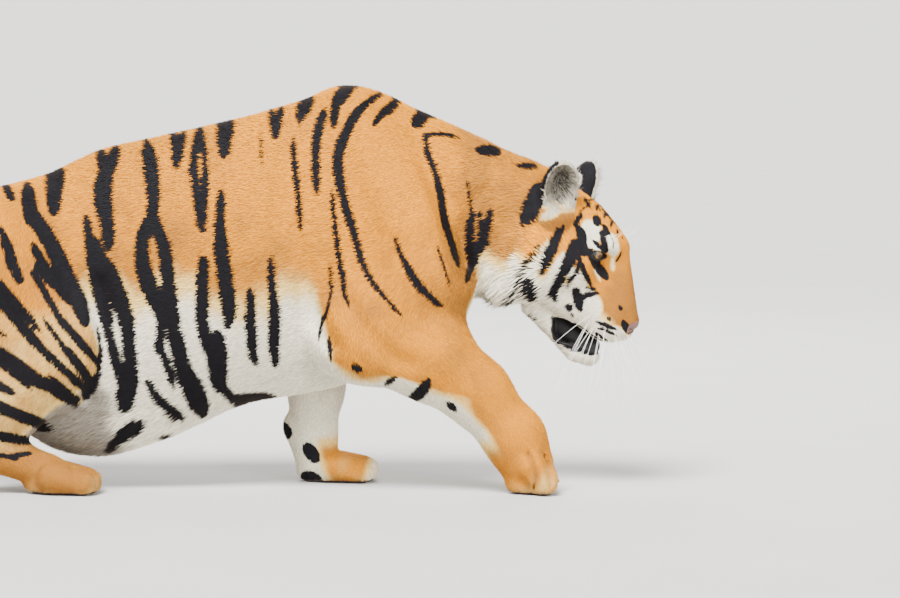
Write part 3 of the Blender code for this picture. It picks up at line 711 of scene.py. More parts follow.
# %% Wrapping
def sample(part, low, step, count, coarse=4):
    """Distances on a grid: worked out coarsely everywhere, and exactly near the surface. The grid's
    outermost layer counts as outside, so that the skin is closed."""
    blocks = count // coarse + 2
    lines = [low[i] + np.arange(blocks[i]) * step * coarse for i in range(3)]
    corners = np.stack(np.meshgrid(*lines, indexing="ij"), -1)
    rough = skin_distance(corners.reshape(-1, 3), part).reshape(blocks)
    close = np.abs(rough) < step * coarse * 2.2
    near = np.zeros(tuple(blocks - 1), bool)
    for corner in np.ndindex(2, 2, 2):
        near |= close[tuple(slice(c, c + n - 1) for c, n in zip(corner, blocks))]
    grid = rough[:-1, :-1, :-1]
    for axis in range(3):
        grid = grid.repeat(coarse, axis)
        near = near.repeat(coarse, axis)
    cells = np.argwhere(near)
    grid[tuple(cells.T)] = skin_distance(low + cells * step, part)
    for axis in range(3):
        np.moveaxis(grid, axis, 0)[[0, -1]] = step
    return grid


def wrap(part, low, high, step):
    """Vertices and square faces of the skin inside a box."""
    low = np.array(low, float)
    count = np.ceil((np.array(high) - low) / step).astype(int) + 1
    grid = sample(part, low, step, count)
    shape = np.array(grid.shape)
    strides = np.array((shape[1] * shape[2], shape[2], 1))
    owners, places, quads = [], [], []
    for axis in range(3):
        lines = np.moveaxis(grid, axis, 0)
        crossed = np.argwhere((lines[:-1] < 0) != (lines[1:] < 0))
        crossed = np.insert(crossed[:, 1:], axis, crossed[:, 0], axis=1)
        along = np.eye(3, dtype=int)[axis]
        before, after = grid[tuple(crossed.T)], grid[tuple((crossed + along).T)]
        place = crossed + along * (before / (before - after))[:, None]
        u, v = strides[(axis + 1) % 3], strides[(axis + 2) % 3]
        home = crossed @ strides
        ring = np.stack([home, home - u, home - u - v, home - v], 1)
        falling = before > 0
        ring[falling] = ring[falling][:, ::-1]
        quads.append(ring)
        for corner in range(4):
            owners.append(ring[:, corner])
            places.append(place)
    owners, places, quads = np.concatenate(owners), np.concatenate(places), np.concatenate(quads)
    cells, index = np.unique(owners, return_inverse=True)
    total = np.stack([np.bincount(index, places[:, i]) for i in range(3)], 1)
    vertices = low + total / np.bincount(index)[:, None] * step
    return vertices, np.searchsorted(cells, quads)


# %% Two lengths of skin
BODY_STEP = 0.0065
HEAD_STEP = 0.0025
BODY_SPACE = ((-1.50, -0.34, -0.05), (0.62, 0.34, 0.92))
HEAD_SPACE = ((0.36, -0.22, 0.24), (0.78, 0.16, 0.74))

# the solids stand over the origin, so the clay's own frame is found again from an eye
eye_low, eye_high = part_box("left_eye")
SHIFT = np.array((eye_low + eye_high) / 2) - skull.outward(EYE)
print("the clay's frame lies", SHIFT.round(4), "from the model's")


def smoothed(vertices, faces):
    """Each vertex moved half way to the middle of its neighbours."""
    here, there = np.concatenate([faces[:, [i, (i + 1) % 4]] for i in range(4)]).T
    count = np.bincount(here, minlength=len(vertices))[:, None]
    around = np.stack([np.bincount(here, column[there], len(vertices)) for column in vertices.T], 1)
    return mix(vertices, around / count, 0.5)


def smooth_mesh(name, vertices, faces):
    """A mesh with smooth shading."""
    mesh = bpy.data.meshes.new(name)
    mesh.from_pydata(vertices.tolist(), [], faces.tolist())
    mesh.polygons.foreach_set("use_smooth", np.ones(len(faces), bool))
    return mesh


def shown(name, data):
    """A new object in the scene."""
    thing = bpy.data.objects.new(name, data)
    bpy.context.scene.collection.objects.link(thing)
    return thing


def skin_object(part, space, step):
    vertices, faces = wrap(part, *space, step)
    vertices = smoothed(vertices, faces)
    if part == "body":
        vertices[:, 2] = np.maximum(vertices[:, 2], -SHIFT[2])      # the soles are flat on the floor
    thing = shown("skin_" + part, smooth_mesh("skin_" + part, vertices + SHIFT, faces))
    print(thing.name, "has", len(faces) * 2, "triangles")
    return thing


skins = {"body": skin_object("body", BODY_SPACE, BODY_STEP),
         "head": skin_object("head", HEAD_SPACE, HEAD_STEP)}


# %% [markdown]
# ## The markings
# A tiger's stripes are part of the hair, so they are settled before the coat is made, and skin and
# tufts then read the same values. Each stripe is a gentle arc between two places on the side, with
# a bow and a greatest width. It is pointed where it ends alone and keeps its width where it runs
# into another. A painted image would do, but it would blur, and arcs stay sharp at any size. No two
# tigers, and no two sides of one, have the same stripes, so the left side bends and shifts them.
# White and tone are made of ramps, each from the place where a colour begins to where it is full.

# %% Stripes of the right side: from (forward, up) to (forward, up), bow, width
BODY_STRIPES = (
    # loin and back
    (-0.630, 0.552, -0.591, 0.436, 0, 0.022), (-0.571, 0.642, -0.561, 0.564, -0.003, 0.030),
    (-0.564, 0.574, -0.501, 0.465, 0.005, 0.033), (-0.505, 0.474, -0.450, 0.353, 0.003, 0.031),
    (-0.564, 0.519, -0.521, 0.442, -0.003, 0.020), (-0.524, 0.449, -0.485, 0.400, -0.002, 0.024),
    (-0.521, 0.674, -0.517, 0.584, 0, 0.027), (-0.500, 0.677, -0.516, 0.600, 0, 0.025),
    (-0.419, 0.709, -0.407, 0.658, 0, 0.026), (-0.382, 0.719, -0.403, 0.658, 0, 0.024),
    (-0.407, 0.667, -0.411, 0.574, -0.005, 0.038), (-0.411, 0.584, -0.403, 0.494, 0.002, 0.029),
    (-0.323, 0.735, -0.309, 0.613, 0.002, 0.031), (-0.309, 0.622, -0.318, 0.548, 0.003, 0.026),
    (-0.317, 0.558, -0.331, 0.471, -0.008, 0.029), (-0.333, 0.481, -0.283, 0.353, -0.008, 0.033),
    (-0.307, 0.561, -0.281, 0.455, 0.005, 0.026), (-0.283, 0.465, -0.267, 0.353, 0, 0.026),
    (-0.450, 0.577, -0.437, 0.497, -0.002, 0.019), (-0.440, 0.510, -0.424, 0.426, -0.003, 0.026),
    (-0.431, 0.439, -0.405, 0.353, -0.002, 0.025), (-0.437, 0.516, -0.392, 0.436, 0, 0.025),
    (-0.397, 0.445, -0.366, 0.353, 0, 0.035), (-0.266, 0.751, -0.259, 0.696, 0, 0.020),
    (-0.242, 0.751, -0.256, 0.696, 0, 0.018), (-0.259, 0.712, -0.260, 0.670, 0, 0.020),
    (-0.210, 0.751, -0.225, 0.664, -0.003, 0.018), (-0.224, 0.670, -0.209, 0.568, -0.003, 0.018),
    (-0.207, 0.744, -0.200, 0.648, 0.002, 0.013), (-0.200, 0.651, -0.207, 0.568, 0.001, 0.018),
    (-0.211, 0.593, -0.207, 0.535, 0, 0.022), (-0.167, 0.780, -0.161, 0.706, 0, 0.023),
    (-0.144, 0.783, -0.159, 0.709, 0, 0.023), (-0.161, 0.728, -0.161, 0.688, 0, 0.013),
    (-0.167, 0.632, -0.170, 0.535, 0, 0.021), (-0.170, 0.548, -0.159, 0.439, -0.002, 0.030),
    (-0.161, 0.452, -0.148, 0.353, 0, 0.031), (-0.204, 0.478, -0.209, 0.353, 0, 0.025),
    # low flank and belly
    (-0.293, 0.350, -0.299, 0.290, 0, 0.020), (-0.299, 0.300, -0.268, 0.203, 0.003, 0.017),
    (-0.285, 0.400, -0.262, 0.305, 0, 0.030), (-0.264, 0.316, -0.243, 0.226, 0, 0.034),
    (-0.245, 0.240, -0.206, 0.148, 0.003, 0.044), (-0.285, 0.505, -0.274, 0.388, 0.001, 0.025),
    (-0.204, 0.472, -0.207, 0.383, -0.003, 0.020), (-0.207, 0.393, -0.205, 0.327, -0.001, 0.023),
    (-0.206, 0.337, -0.187, 0.271, -0.001, 0.025), (-0.179, 0.334, -0.172, 0.245, 0.003, 0.032),
    (-0.181, 0.271, -0.172, 0.210, 0, 0.036), (-0.173, 0.220, -0.116, 0.172, -0.006, 0.021),
    (-0.129, 0.187, -0.048, 0.191, 0, 0.022), (-0.167, 0.505, -0.155, 0.403, 0.001, 0.027),
    (-0.157, 0.416, -0.154, 0.340, 0, 0.016), (-0.107, 0.426, -0.107, 0.337, 0.001, 0.021),
    (-0.107, 0.357, -0.103, 0.279, 0.001, 0.022), (-0.102, 0.289, -0.095, 0.256, 0, 0.017),
    (-0.064, 0.495, -0.057, 0.378, -0.001, 0.017), (-0.057, 0.398, -0.057, 0.296, 0.001, 0.025),
    (-0.060, 0.317, -0.053, 0.249, 0, 0.020), (0.061, 0.480, 0.065, 0.424, 0, 0.007),
    (0.065, 0.429, 0.053, 0.357, 0.003, 0.007), (0.050, 0.362, 0.038, 0.307, 0, 0.007),
    (0.060, 0.324, 0.065, 0.263, 0, 0.009),
    # thigh and fold of the belly
    (-0.704, 0.476, -0.624, 0.405, 0, 0.019), (-0.630, 0.425, -0.542, 0.322, 0, 0.019),
    (-0.718, 0.440, -0.624, 0.381, 0, 0.021), (-0.630, 0.393, -0.550, 0.296, 0, 0.024),
    (-0.556, 0.302, -0.452, 0.204, 0, 0.018), (-0.559, 0.449, -0.497, 0.340, 0, 0.015),
    (-0.500, 0.349, -0.427, 0.260, 0.001, 0.019), (-0.545, 0.361, -0.497, 0.293, 0, 0.010),
    (-0.500, 0.299, -0.440, 0.219, 0.001, 0.021), (-0.550, 0.464, -0.483, 0.399, -0.001, 0.023),
    (-0.489, 0.411, -0.453, 0.346, 0, 0.018), (-0.503, 0.464, -0.487, 0.417, 0, 0.027),
    (-0.427, 0.340, -0.420, 0.275, 0.001, 0.007), (-0.421, 0.281, -0.427, 0.234, 0, 0.010),
    (-0.424, 0.240, -0.453, 0.193, 0, 0.022), (-0.707, 0.316, -0.624, 0.275, 0, 0.027),
    (-0.630, 0.281, -0.547, 0.219, 0, 0.030), (-0.559, 0.228, -0.474, 0.175, 0.003, 0.025),
    (-0.533, 0.240, -0.469, 0.184, 0, 0.011), (-0.695, 0.293, -0.627, 0.255, 0, 0.011),
    (-0.630, 0.258, -0.562, 0.202, 0, 0.011), (-0.689, 0.240, -0.595, 0.193, 0, 0.021),
    (-0.707, 0.204, -0.624, 0.163, 0.001, 0.024), (-0.630, 0.168, -0.512, 0.123, -0.003, 0.025),
    (-0.689, 0.116, -0.545, 0.093, 0, 0.021), (-0.606, 0.066, -0.562, 0.072, 0, 0.011),
    (-0.665, 0.075, -0.598, 0.060, 0, 0.010), (-0.707, 0.361, -0.615, 0.316, 0, 0.015),
    (-0.612, 0.476, -0.589, 0.437, 0, 0.017), (-0.433, 0.464, -0.406, 0.346, 0.001, 0.030),
    (-0.409, 0.355, -0.375, 0.219, -0.002, 0.021), (-0.403, 0.464, -0.365, 0.349, 0.003, 0.025),
    (-0.368, 0.358, -0.356, 0.222, 0.001, 0.028), (-0.363, 0.231, -0.374, 0.160, 0, 0.040),
    (-0.332, 0.464, -0.294, 0.378, -0.002, 0.030), (-0.279, 0.464, -0.279, 0.375, 0, 0.021),
    (-0.325, 0.228, -0.300, 0.181, -0.001, 0.018), (-0.306, 0.190, -0.244, 0.140, -0.002, 0.022),
    (-0.300, 0.110, -0.232, 0.113, 0, 0.010), (-0.329, 0.140, -0.377, 0.110, 0, 0.032),
    (-0.371, 0.116, -0.406, 0.078, 0, 0.020),
    # shoulder
    (-0.061, 0.798, -0.053, 0.740, 0, 0.017), (-0.037, 0.804, -0.052, 0.740, 0, 0.015),
    (-0.082, 0.748, -0.082, 0.675, 0, 0.006), (0.025, 0.827, 0.001, 0.780, 0, 0.027),
    (-0.003, 0.798, -0.001, 0.773, 0, 0.013), (-0.002, 0.780, -0.003, 0.751, 0, 0.004),
    (-0.015, 0.742, -0.008, 0.639, -0.002, 0.013), (-0.008, 0.646, 0.001, 0.534, 0, 0.012),
    (0.054, 0.798, 0.032, 0.715, -0.004, 0.022), (0.032, 0.722, 0.036, 0.610, -0.003, 0.017),
    (0.106, 0.847, 0.142, 0.849, 0, 0.018), (0.108, 0.844, 0.077, 0.806, -0.003, 0.027),
    (0.078, 0.813, 0.070, 0.753, -0.002, 0.018), (0.175, 0.829, 0.128, 0.795, -0.003, 0.014),
    (0.130, 0.800, 0.088, 0.722, -0.005, 0.021), (0.088, 0.733, 0.083, 0.639, -0.007, 0.022),
    (0.083, 0.650, 0.106, 0.552, -0.004, 0.019), (0.104, 0.560, 0.124, 0.487, 0, 0.017),
    (0.122, 0.495, 0.160, 0.419, -0.004, 0.014), (0.157, 0.426, 0.218, 0.357, -0.003, 0.010),
    (0.188, 0.836, 0.211, 0.818, 0, 0.015), (0.209, 0.824, 0.178, 0.787, 0.002, 0.020),
    (0.180, 0.795, 0.153, 0.757, -0.002, 0.014), (0.227, 0.820, 0.247, 0.813, 0, 0.008),
    (0.258, 0.795, 0.289, 0.781, 0.002, 0.025), (0.265, 0.793, 0.238, 0.760, 0, 0.030),
    (0.260, 0.739, 0.339, 0.731, 0.007, 0.009), (0.261, 0.740, 0.265, 0.704, 0, 0.012),
    (0.263, 0.708, 0.292, 0.625, 0.003, 0.013), (0.291, 0.632, 0.305, 0.552, 0, 0.015),
    (0.303, 0.563, 0.334, 0.458, 0, 0.014), (0.283, 0.516, 0.316, 0.411, 0.002, 0.006),
    (0.197, 0.531, 0.222, 0.469, -0.003, 0.010), (0.218, 0.476, 0.258, 0.411, -0.003, 0.019),
    (0.254, 0.419, 0.301, 0.379, -0.003, 0.015), (0.066, 0.632, 0.072, 0.542, -0.001, 0.010),
    (0.072, 0.549, 0.088, 0.444, -0.002, 0.012), (0.088, 0.451, 0.105, 0.377, -0.003, 0.011),
    # neck
    (0.348, 0.654, 0.359, 0.571, 0, 0.007), (0.361, 0.578, 0.358, 0.498, -0.004, 0.019),
    (0.374, 0.575, 0.376, 0.520, 0.002, 0.010), (0.398, 0.590, 0.382, 0.516, 0.002, 0.017),
    (0.386, 0.520, 0.364, 0.492, 0, 0.022), (0.357, 0.502, 0.365, 0.469, 0, 0.023),
    (0.361, 0.476, 0.347, 0.428, 0, 0.013), (0.365, 0.710, 0.423, 0.703, 0.002, 0.022),
    # behind the ear and above the neck
    (0.500, 0.640, 0.464, 0.552, 0.006, 0.040), (0.452, 0.677, 0.500, 0.671, 0.002, 0.013),
    # rump behind the hip
    (-0.650, 0.625, -0.665, 0.500, -0.010, 0.022), (-0.620, 0.640, -0.600, 0.600, 0, 0.018),
    (-0.705, 0.595, -0.720, 0.470, -0.012, 0.024), (-0.745, 0.545, -0.765, 0.400, -0.010, 0.022),
    (-0.670, 0.510, -0.635, 0.440, 0, 0.016), (-0.800, 0.400, -0.700, 0.350, 0.012, 0.020),
    (-0.790, 0.330, -0.700, 0.290, 0.010, 0.018), (-0.770, 0.260, -0.690, 0.235, 0.008, 0.018),
    # hind shin and foot
    (-0.720, 0.180, -0.640, 0.170, 0.008, 0.018), (-0.740, 0.130, -0.660, 0.130, 0.006, 0.016),
    # inside of the foreleg
    (0.178, 0.213, 0.205, 0.232, 0.003, 0.013), (0.225, 0.185, 0.272, 0.232, -0.010, 0.024),
    (0.108, 0.258, 0.130, 0.246, 0, 0.015), (0.308, 0.178, 0.330, 0.160, 0.001, 0.013),
)
# shins of the hind feet and the upright foreleg, each crossed by a few short bars
LEG_BARS = (
    (-0.800, 0.235, -0.760, 0.160, 0.004, 0.013), (-0.830, 0.190, -0.795, 0.120, 0.003, 0.012),
    (-0.720, 0.300, -0.660, 0.170, 0.004, 0.014), (-0.640, 0.320, -0.590, 0.200, 0.004, 0.014),
    (-0.010, 0.300, 0.020, 0.325, 0.002, 0.010), (-0.048, 0.130, -0.025, 0.105, 0.004, 0.026),
    (0.010, 0.090, 0.036, 0.054, 0, 0.027), (0.004, 0.026, 0.044, 0.008, 0, 0.028),
)
# bars inside the reaching foreleg
INNER_BARS = (
    (0.200, 0.300, 0.262, 0.372, 0.006, 0.015), (0.262, 0.262, 0.325, 0.318, 0.006, 0.016),
    (0.318, 0.214, 0.372, 0.262, 0.005, 0.014), (0.372, 0.176, 0.414, 0.210, 0.004, 0.012),
)
# each face mark is laid on the right side of the head and mirrored
FACE_STRIPES = (
    (0.542, 0.544, 0.505, 0.448, 0, 0.026), (0.552, 0.549, 0.531, 0.499, 0, 0.011),
    (0.578, 0.515, 0.527, 0.410, 0.005, 0.023), (0.572, 0.511, 0.560, 0.477, 0, 0.018),
    (0.482, 0.450, 0.495, 0.392, -0.004, 0.030), (0.512, 0.526, 0.448, 0.400, -0.006, 0.010),
    (0.424, 0.436, 0.420, 0.404, 0, 0.016), (0.452, 0.418, 0.446, 0.392, 0, 0.013),
    (0.478, 0.372, 0.498, 0.356, 0, 0.009), (0.536, 0.408, 0.537, 0.394, 0, 0.014),
    (0.564, 0.387, 0.566, 0.374, 0, 0.015), (0.572, 0.366, 0.573, 0.361, 0, 0.007),
    (0.563, 0.437, 0.563, 0.426, 0, 0.007), (0.588, 0.482, 0.570, 0.439, 0.002, 0.010),
    (0.592, 0.470, 0.612, 0.428, -0.002, 0.013), (0.603, 0.422, 0.619, 0.420, 0, 0.006),
    (0.578, 0.425, 0.588, 0.378, 0, 0.021), (0.583, 0.388, 0.631, 0.408, 0.009, 0.013),
    (0.585, 0.548, 0.594, 0.497, 0.002, 0.022), (0.597, 0.502, 0.570, 0.470, -0.003, 0.011),
    (0.590, 0.577, 0.578, 0.557, 0, 0.014), (0.623, 0.571, 0.623, 0.553, 0, 0.021),
    (0.639, 0.549, 0.646, 0.537, 0, 0.014), (0.614, 0.522, 0.636, 0.502, 0, 0.010),
    (0.635, 0.537, 0.642, 0.497, 0, 0.014), (0.653, 0.528, 0.656, 0.501, 0.003, 0.003),
    (0.677, 0.501, 0.661, 0.475, 0.002, 0.006), (0.610, 0.493, 0.648, 0.438, -0.004, 0.028),
    (0.607, 0.499, 0.617, 0.466, 0.004, 0.008), (0.671, 0.383, 0.675, 0.374, 0, 0.009),
    (0.646, 0.358, 0.651, 0.354, 0, 0.007), (0.620, 0.351, 0.667, 0.331, 0.001, 0.010),
    (0.621, 0.337, 0.667, 0.318, 0.002, 0.008), (0.622, 0.324, 0.648, 0.307, 0, 0.009),
    (0.675, 0.352, 0.696, 0.322, 0, 0.019), (0.596, 0.614, 0.610, 0.586, 0, 0.008),
    (0.610, 0.609, 0.625, 0.607, 0, 0.007), (0.632, 0.600, 0.646, 0.587, 0, 0.006),
    (0.610, 0.600, 0.588, 0.582, 0, 0.004), (0.500, 0.640, 0.464, 0.552, 0.006, 0.040),
    # lips
    (0.530, 0.344, 0.538, 0.313, 0, 0.011), (0.538, 0.313, 0.574, 0.296, 0, 0.018),
    (0.574, 0.296, 0.624, 0.281, 0, 0.017), (0.529, 0.361, 0.581, 0.343, 0, 0.007),
    (0.581, 0.343, 0.632, 0.307, 0, 0.009),
)
# white patches over the eye, under it, on the cheek and on the lip
FACE_PATCHES = (
    (0.538, 0.535, 0.476, 0.441, 0, 0.022), (0.560, 0.499, 0.513, 0.416, 0, 0.025),
    (0.560, 0.405, 0.607, 0.376, 0, 0.080), (0.570, 0.463, 0.592, 0.416, 0, 0.033),
    (0.516, 0.405, 0.588, 0.358, 0, 0.047), (0.610, 0.553, 0.610, 0.520, 0, 0.047),
    (0.654, 0.535, 0.660, 0.488, 0, 0.035), (0.616, 0.468, 0.631, 0.435, 0, 0.011),
    (0.656, 0.481, 0.658, 0.457, 0, 0.007), (0.610, 0.330, 0.690, 0.312, 0, 0.046),
    (0.502, 0.564, 0.588, 0.616, 0, 0.022), (0.607, 0.513, 0.635, 0.499, 0, 0.014),
)


# %% The left side's own stripes
def other_side(uv, y):
    """The left side's places, bent and shifted away from the spine, so that its stripes are its own."""
    u, v = uv.T
    away = ramp(y, 0.0, 0.09)
    bent_u = u + away * (0.030 + 0.022 * np.sin(9 * v + 2 * u) + 0.010 * np.sin(31 * u + 4))
    bent_v = v + away * (0.016 * np.sin(11 * u + 1) - 0.010)
    return np.stack([bent_u, bent_v], 1)


BOLD = 1.10             # hairs across a stripe's edge make it look narrower than it is
body_lines, leg_lines, inner_lines = (chained(rows, BOLD) for rows in (BODY_STRIPES, LEG_BARS, INNER_BARS))

# %% Face marks laid on the skin
head_points = np.array([v.co for v in skins["head"].data.vertices]) - SHIFT
head_side = side_view(head_points)


ASIDE, BEHIND = 0.005, 0.007    # how far beside a place, and behind the nearest skin, is still looked at


def laid_on_face(flat, half):
    """An arc on the side of the head, moved onto its skin and folded to the left half."""
    places = []
    for spot in flat:
        away = ((head_side - spot)**2).sum(1)
        near = np.flatnonzero(away < ASIDE**2)
        if len(near):
            near = near[head_points[near, 1] < head_points[near, 1].min() + BEHIND]
            places.append(head_points[near[away[near].argmin()]])
        else:
            places.append(head_points[away.argmin()])
    places = skull.inward(np.array(places))
    places[:, 1] = np.abs(places[:, 1])
    return places, half


BROW_STRIPES = (        # from (forward, to the side) to (forward, to the side), bow, width
    (-0.070, 0.000, -0.062, 0.030, 0.003, 0.008), (-0.046, 0.000, -0.040, 0.026, 0.003, 0.009),
    (-0.024, 0.004, -0.016, 0.026, 0.003, 0.008), (-0.006, 0.005, 0.004, 0.022, 0.002, 0.006),
    (-0.062, 0.002, -0.030, 0.004, 0.000, 0.006), (0.012, 0.006, 0.016, 0.016, 0.001, 0.004),
)
half_head = halved(skull.inward(head_points))


def laid_on_brow(flat, half):
    """The same for an arc seen from above the head."""
    high = half_head[half_head[:, 2] > -0.02]
    places = [high[((high[:, :2] - spot)**2).sum(1).argmin()] for spot in flat]
    return np.array(places), half


face_lines = [laid_on_face(*line) for line in chained(FACE_STRIPES, 1.0)]
face_lines += [laid_on_brow(*line) for line in chained(BROW_STRIPES, 1.0)]
patch_lines = [laid_on_face(*line) for line in chained(FACE_PATCHES, 1.0)]
print("stripes:", len(body_lines) + len(leg_lines), "and marks of the face:", len(face_lines))

# %% Points of the hide, and the stripes of body, legs and tail
class Hide:
    """Points of the skin in the clay's frame, with what their markings are worked out from."""

    def __init__(self, p, normal, region, limbs):
        self.p, self.normal, self.region, self.limbs = p, normal, region, limbs
        self.x, self.z = p[:, 0], p[:, 2]
        self.left = p[:, 1] > 0
        self.out = np.where(self.left, 1, -1) * normal[:, 1]
        self.side = side_view(p)
        self.side[self.left] = other_side(self.side[self.left], p[self.left, 1])
        self.height = self.uneven()

    def uneven(self):
        """Height with waves of several lengths, so that the white below ends in an uneven edge."""
        x, z = self.x, self.z
        long_waves = z + 0.022 * np.sin(7 * x + 1) + 0.014 * np.sin(23 * x + 9 * z)
        return long_waves + (0.012 * np.sin(41 * x + 2) + 0.008 * np.sin(83 * x - 20 * z))

    def on(self, *names):
        return np.isin(self.region, [REGIONS.index(name) for name in names])


RING_SPACING, RING_WIDTH = 0.072, 0.030
TAIL_TIP = 0.80             # from here the tail is black


def tail_rings(hide):
    """How far inside a ring of the tail points lie. The rings lean and are narrower below."""
    along = tail.nearest(hide.p)[2]
    slant = 0.012 * hide.normal[:, 1] + 0.006 * np.sin(40 * along)
    phase = np.abs((along + slant) % RING_SPACING - RING_SPACING / 2)
    rings = RING_WIDTH / 2 * ramp(hide.normal[:, 2], -0.9, 0.1) - phase
    return np.maximum(rings, along - TAIL_TIP)


def body_stripes(hide):
    """How far inside a stripe points of body, legs and tail lie, in metres."""
    stripe = within(hide.side, body_lines)
    barred = hide.on("left_foreleg", "left_hind_leg", "right_foreleg")
    inside = hide.on("right_foreleg") & (hide.normal[:, 1] > 0.1)
    for chosen, lines in ((barred, leg_lines), (inside, inner_lines)):
        stripe[chosen] = np.maximum(stripe[chosen], within(side_view(hide.p[chosen]), lines))
    return np.where(hide.on("tail"), tail_rings(hide), stripe)


# %% White of the trunk, the limbs and the tail
def pale_trunk(hide):
    """White on the belly, the low flank and the chest, but not on the shoulder."""
    x, z = hide.x, hide.z
    below = np.maximum(ramp(hide.height, 0.490, 0.315), ramp(hide.normal[:, 2], -0.2, -0.65))
    chest = ramp(x, 0.33, 0.40) * ramp(z + 0.4 * (x - 0.4), 0.520, 0.460)
    shoulder = ramp(x, -0.02, 0.05) * ramp(z, 0.33, 0.38) * ramp(x, 0.36, 0.30)
    return np.maximum(below, chest) * (1 - shoulder * ramp(hide.out, 0.1, 0.5))


def pale_limb(hide):
    """White inside a limb and down its back edge, and paler toes and thigh."""
    x, z, normal = hide.x, hide.z, hide.normal
    upright = hide.left & (np.abs(x - 0.05) < 0.13)         # the foreleg under the chest
    inner = ramp(hide.out + 0.9 * np.minimum(normal[:, 2], 0), 0.30, -0.30) * ramp(z, 0.47, 0.40)
    forearm = ramp(x, 0.12, 0.20) * (1 - 0.6 * ramp(x, 0.34, 0.42)) * ramp(z + 0.26 * x, 0.312, 0.294)
    backwards = -normal[:, 0] - 0.8 * normal[:, 2] + 0.32 * forearm
    back_edge = ramp(backwards, 0.50, 1.00) * ramp(z, 0.52, 0.42)
    paw = ramp(z, 0.12, 0.06) * np.where(upright, ramp(x + 0.3 * z, 0.040, 0.075), 1)
    toe_tips = ramp(hide.height - 0.02 * normal[:, 0], 0.050, -0.020)
    upright_toes = 0.8 * upright * ramp(x - 0.3 * z, 0.115, 0.145)
    pale = np.max([inner * (1 - 0.9 * paw), back_edge * ramp(z, 0.06, 0.14), 0.25 * toe_tips,
                   upright_toes], axis=0)
    thigh = ramp(x, -0.30, -0.40) * ramp(z, 0.46, 0.34) * (1 - paw)
    return mix(pale, 1, 0.3 * thigh)


def pale_body(hide):
    """White of trunk, limbs and tail, from 0 to 1."""
    x, z = hide.x, hide.z
    pale = mix(pale_trunk(hide), pale_limb(hide), ramp(hide.limbs, 0.35, 0.65))
    armpit = ~hide.left * ramp(hide.out, 0.1, 0.4) * ramp(z, 0.27, 0.30) * ramp(np.abs(x - 0.05), 0.12, 0.08)
    behind_arm = ramp(x - 0.060 + 0.25 * (z - 0.34), 0.012, -0.012) * ramp(z, 0.50, 0.36)
    under_tail = np.maximum(ramp(hide.normal[:, 2], 0.1, -0.6), 0.35)
    return np.where(hide.on("tail"), under_tail, mix(pale, behind_arm, armpit))


# %% Tone of the orange, and grey in the white
def tones(hide):
    """High where the orange is bright. Low makes the orange deep and the white grey."""
    x, z = hide.x, hide.z
    tone = 0.75 + 0.15 * np.sin(5 * x) - 0.25 * ramp(hide.height, 0.60, 0.45)
    neck_and_chest = 0.55 * ramp(x, 0.27, 0.36) * ramp(z, 0.24, 0.40)
    # painted shade: the tone drops between the toes, in the groin, under the body and on the far legs, where
    # shade falls
    shade_between_toes = ramp(within(hide.side, toe_lines), -0.006, 0.004) * ramp(hide.out, 0.4, 0.8)
    shade_in_groin = ramp(x, -0.34, -0.42) * ramp(z, 0.26, 0.20) * ramp(x, -0.66, -0.60)
    below = ramp(hide.normal[:, 2], -0.3, -0.9) * ramp(z, 0.35, 0.28)
    shade_on_far_leg = hide.left * hide.limbs * ramp(x, 0.3, 0.2) * ramp(hide.out, 0.2, -0.4) * ramp(z, 0.10, 0.16)
    return tone - neck_and_chest - 0.45 * shade_between_toes - 1.2 * shade_in_groin - 0.5 * below - 0.6 * shade_on_far_leg


# %% The head's own colours
nose_leather = Lump((0.149, 0, -0.078), (0.019, 0.025, 0.019))
ear_spot = ear_middle - 0.030 * ear_out + 0.006 * ear_tip


def pale_face(p, q, half):
    """White of the patches, of muzzle and chin, and of the cheek."""
    patch = ramp(within(half, patch_lines), -0.006, 0.006)
    muzzle = ramp(q[:, 2], -0.070, -0.105) * ramp(q[:, 0], 0.155, 0.10)
    chin = ramp(q[:, 2], -0.098, -0.108)
    side = side_view(p)
    cheek = ramp(side[:, 1] + 0.25 * (side[:, 0] - 0.40), 0.500, 0.460) * ramp(q[:, 0], 0.03, -0.01)
    return np.max([patch, muzzle, chin, cheek], axis=0)


def bare_face(q, half):
    """Lids, lips and nose, where no hair grows."""
    return np.max([ramp(eye_opening.distance(half), 0.0042, 0.0030),
                   ramp(mouth_distance(q), 0.0042, 0.0025),
                   ramp(nose_leather.distance(half), 0.0008, -0.0008)], axis=0)


def ear_marks(half):
    """Stripe, pale and tone of an ear: black behind with a white spot, grey and white within, painted shade
    in the hollow.
    """
    off = half - ear_middle
    rim = -0.003 + 0.012 * ramp(off @ ear_rear, 0.006, 0.022)
    behind = (ear_hollow.distance(half) > 0.0045) & (off @ ear_out < rim) & (off @ ear_tip > -0.050)
    spot = ramp(np.linalg.norm(half - ear_spot, axis=1), 0.020, 0.014)
    # painted shade: the middle of the hollow gets a darker stripe value and a lower tone
    hollow = ramp(ear_hollow.distance(half + 0.010 * ear_out), 0.002, -0.008)
    stripe = np.where(behind, mix(0.01, -0.02, spot), mix(-0.004, 0.0001, hollow))
    return stripe, ramp(off @ ear_tip, -0.055, -0.035), mix(-0.55, -1.0, hollow)


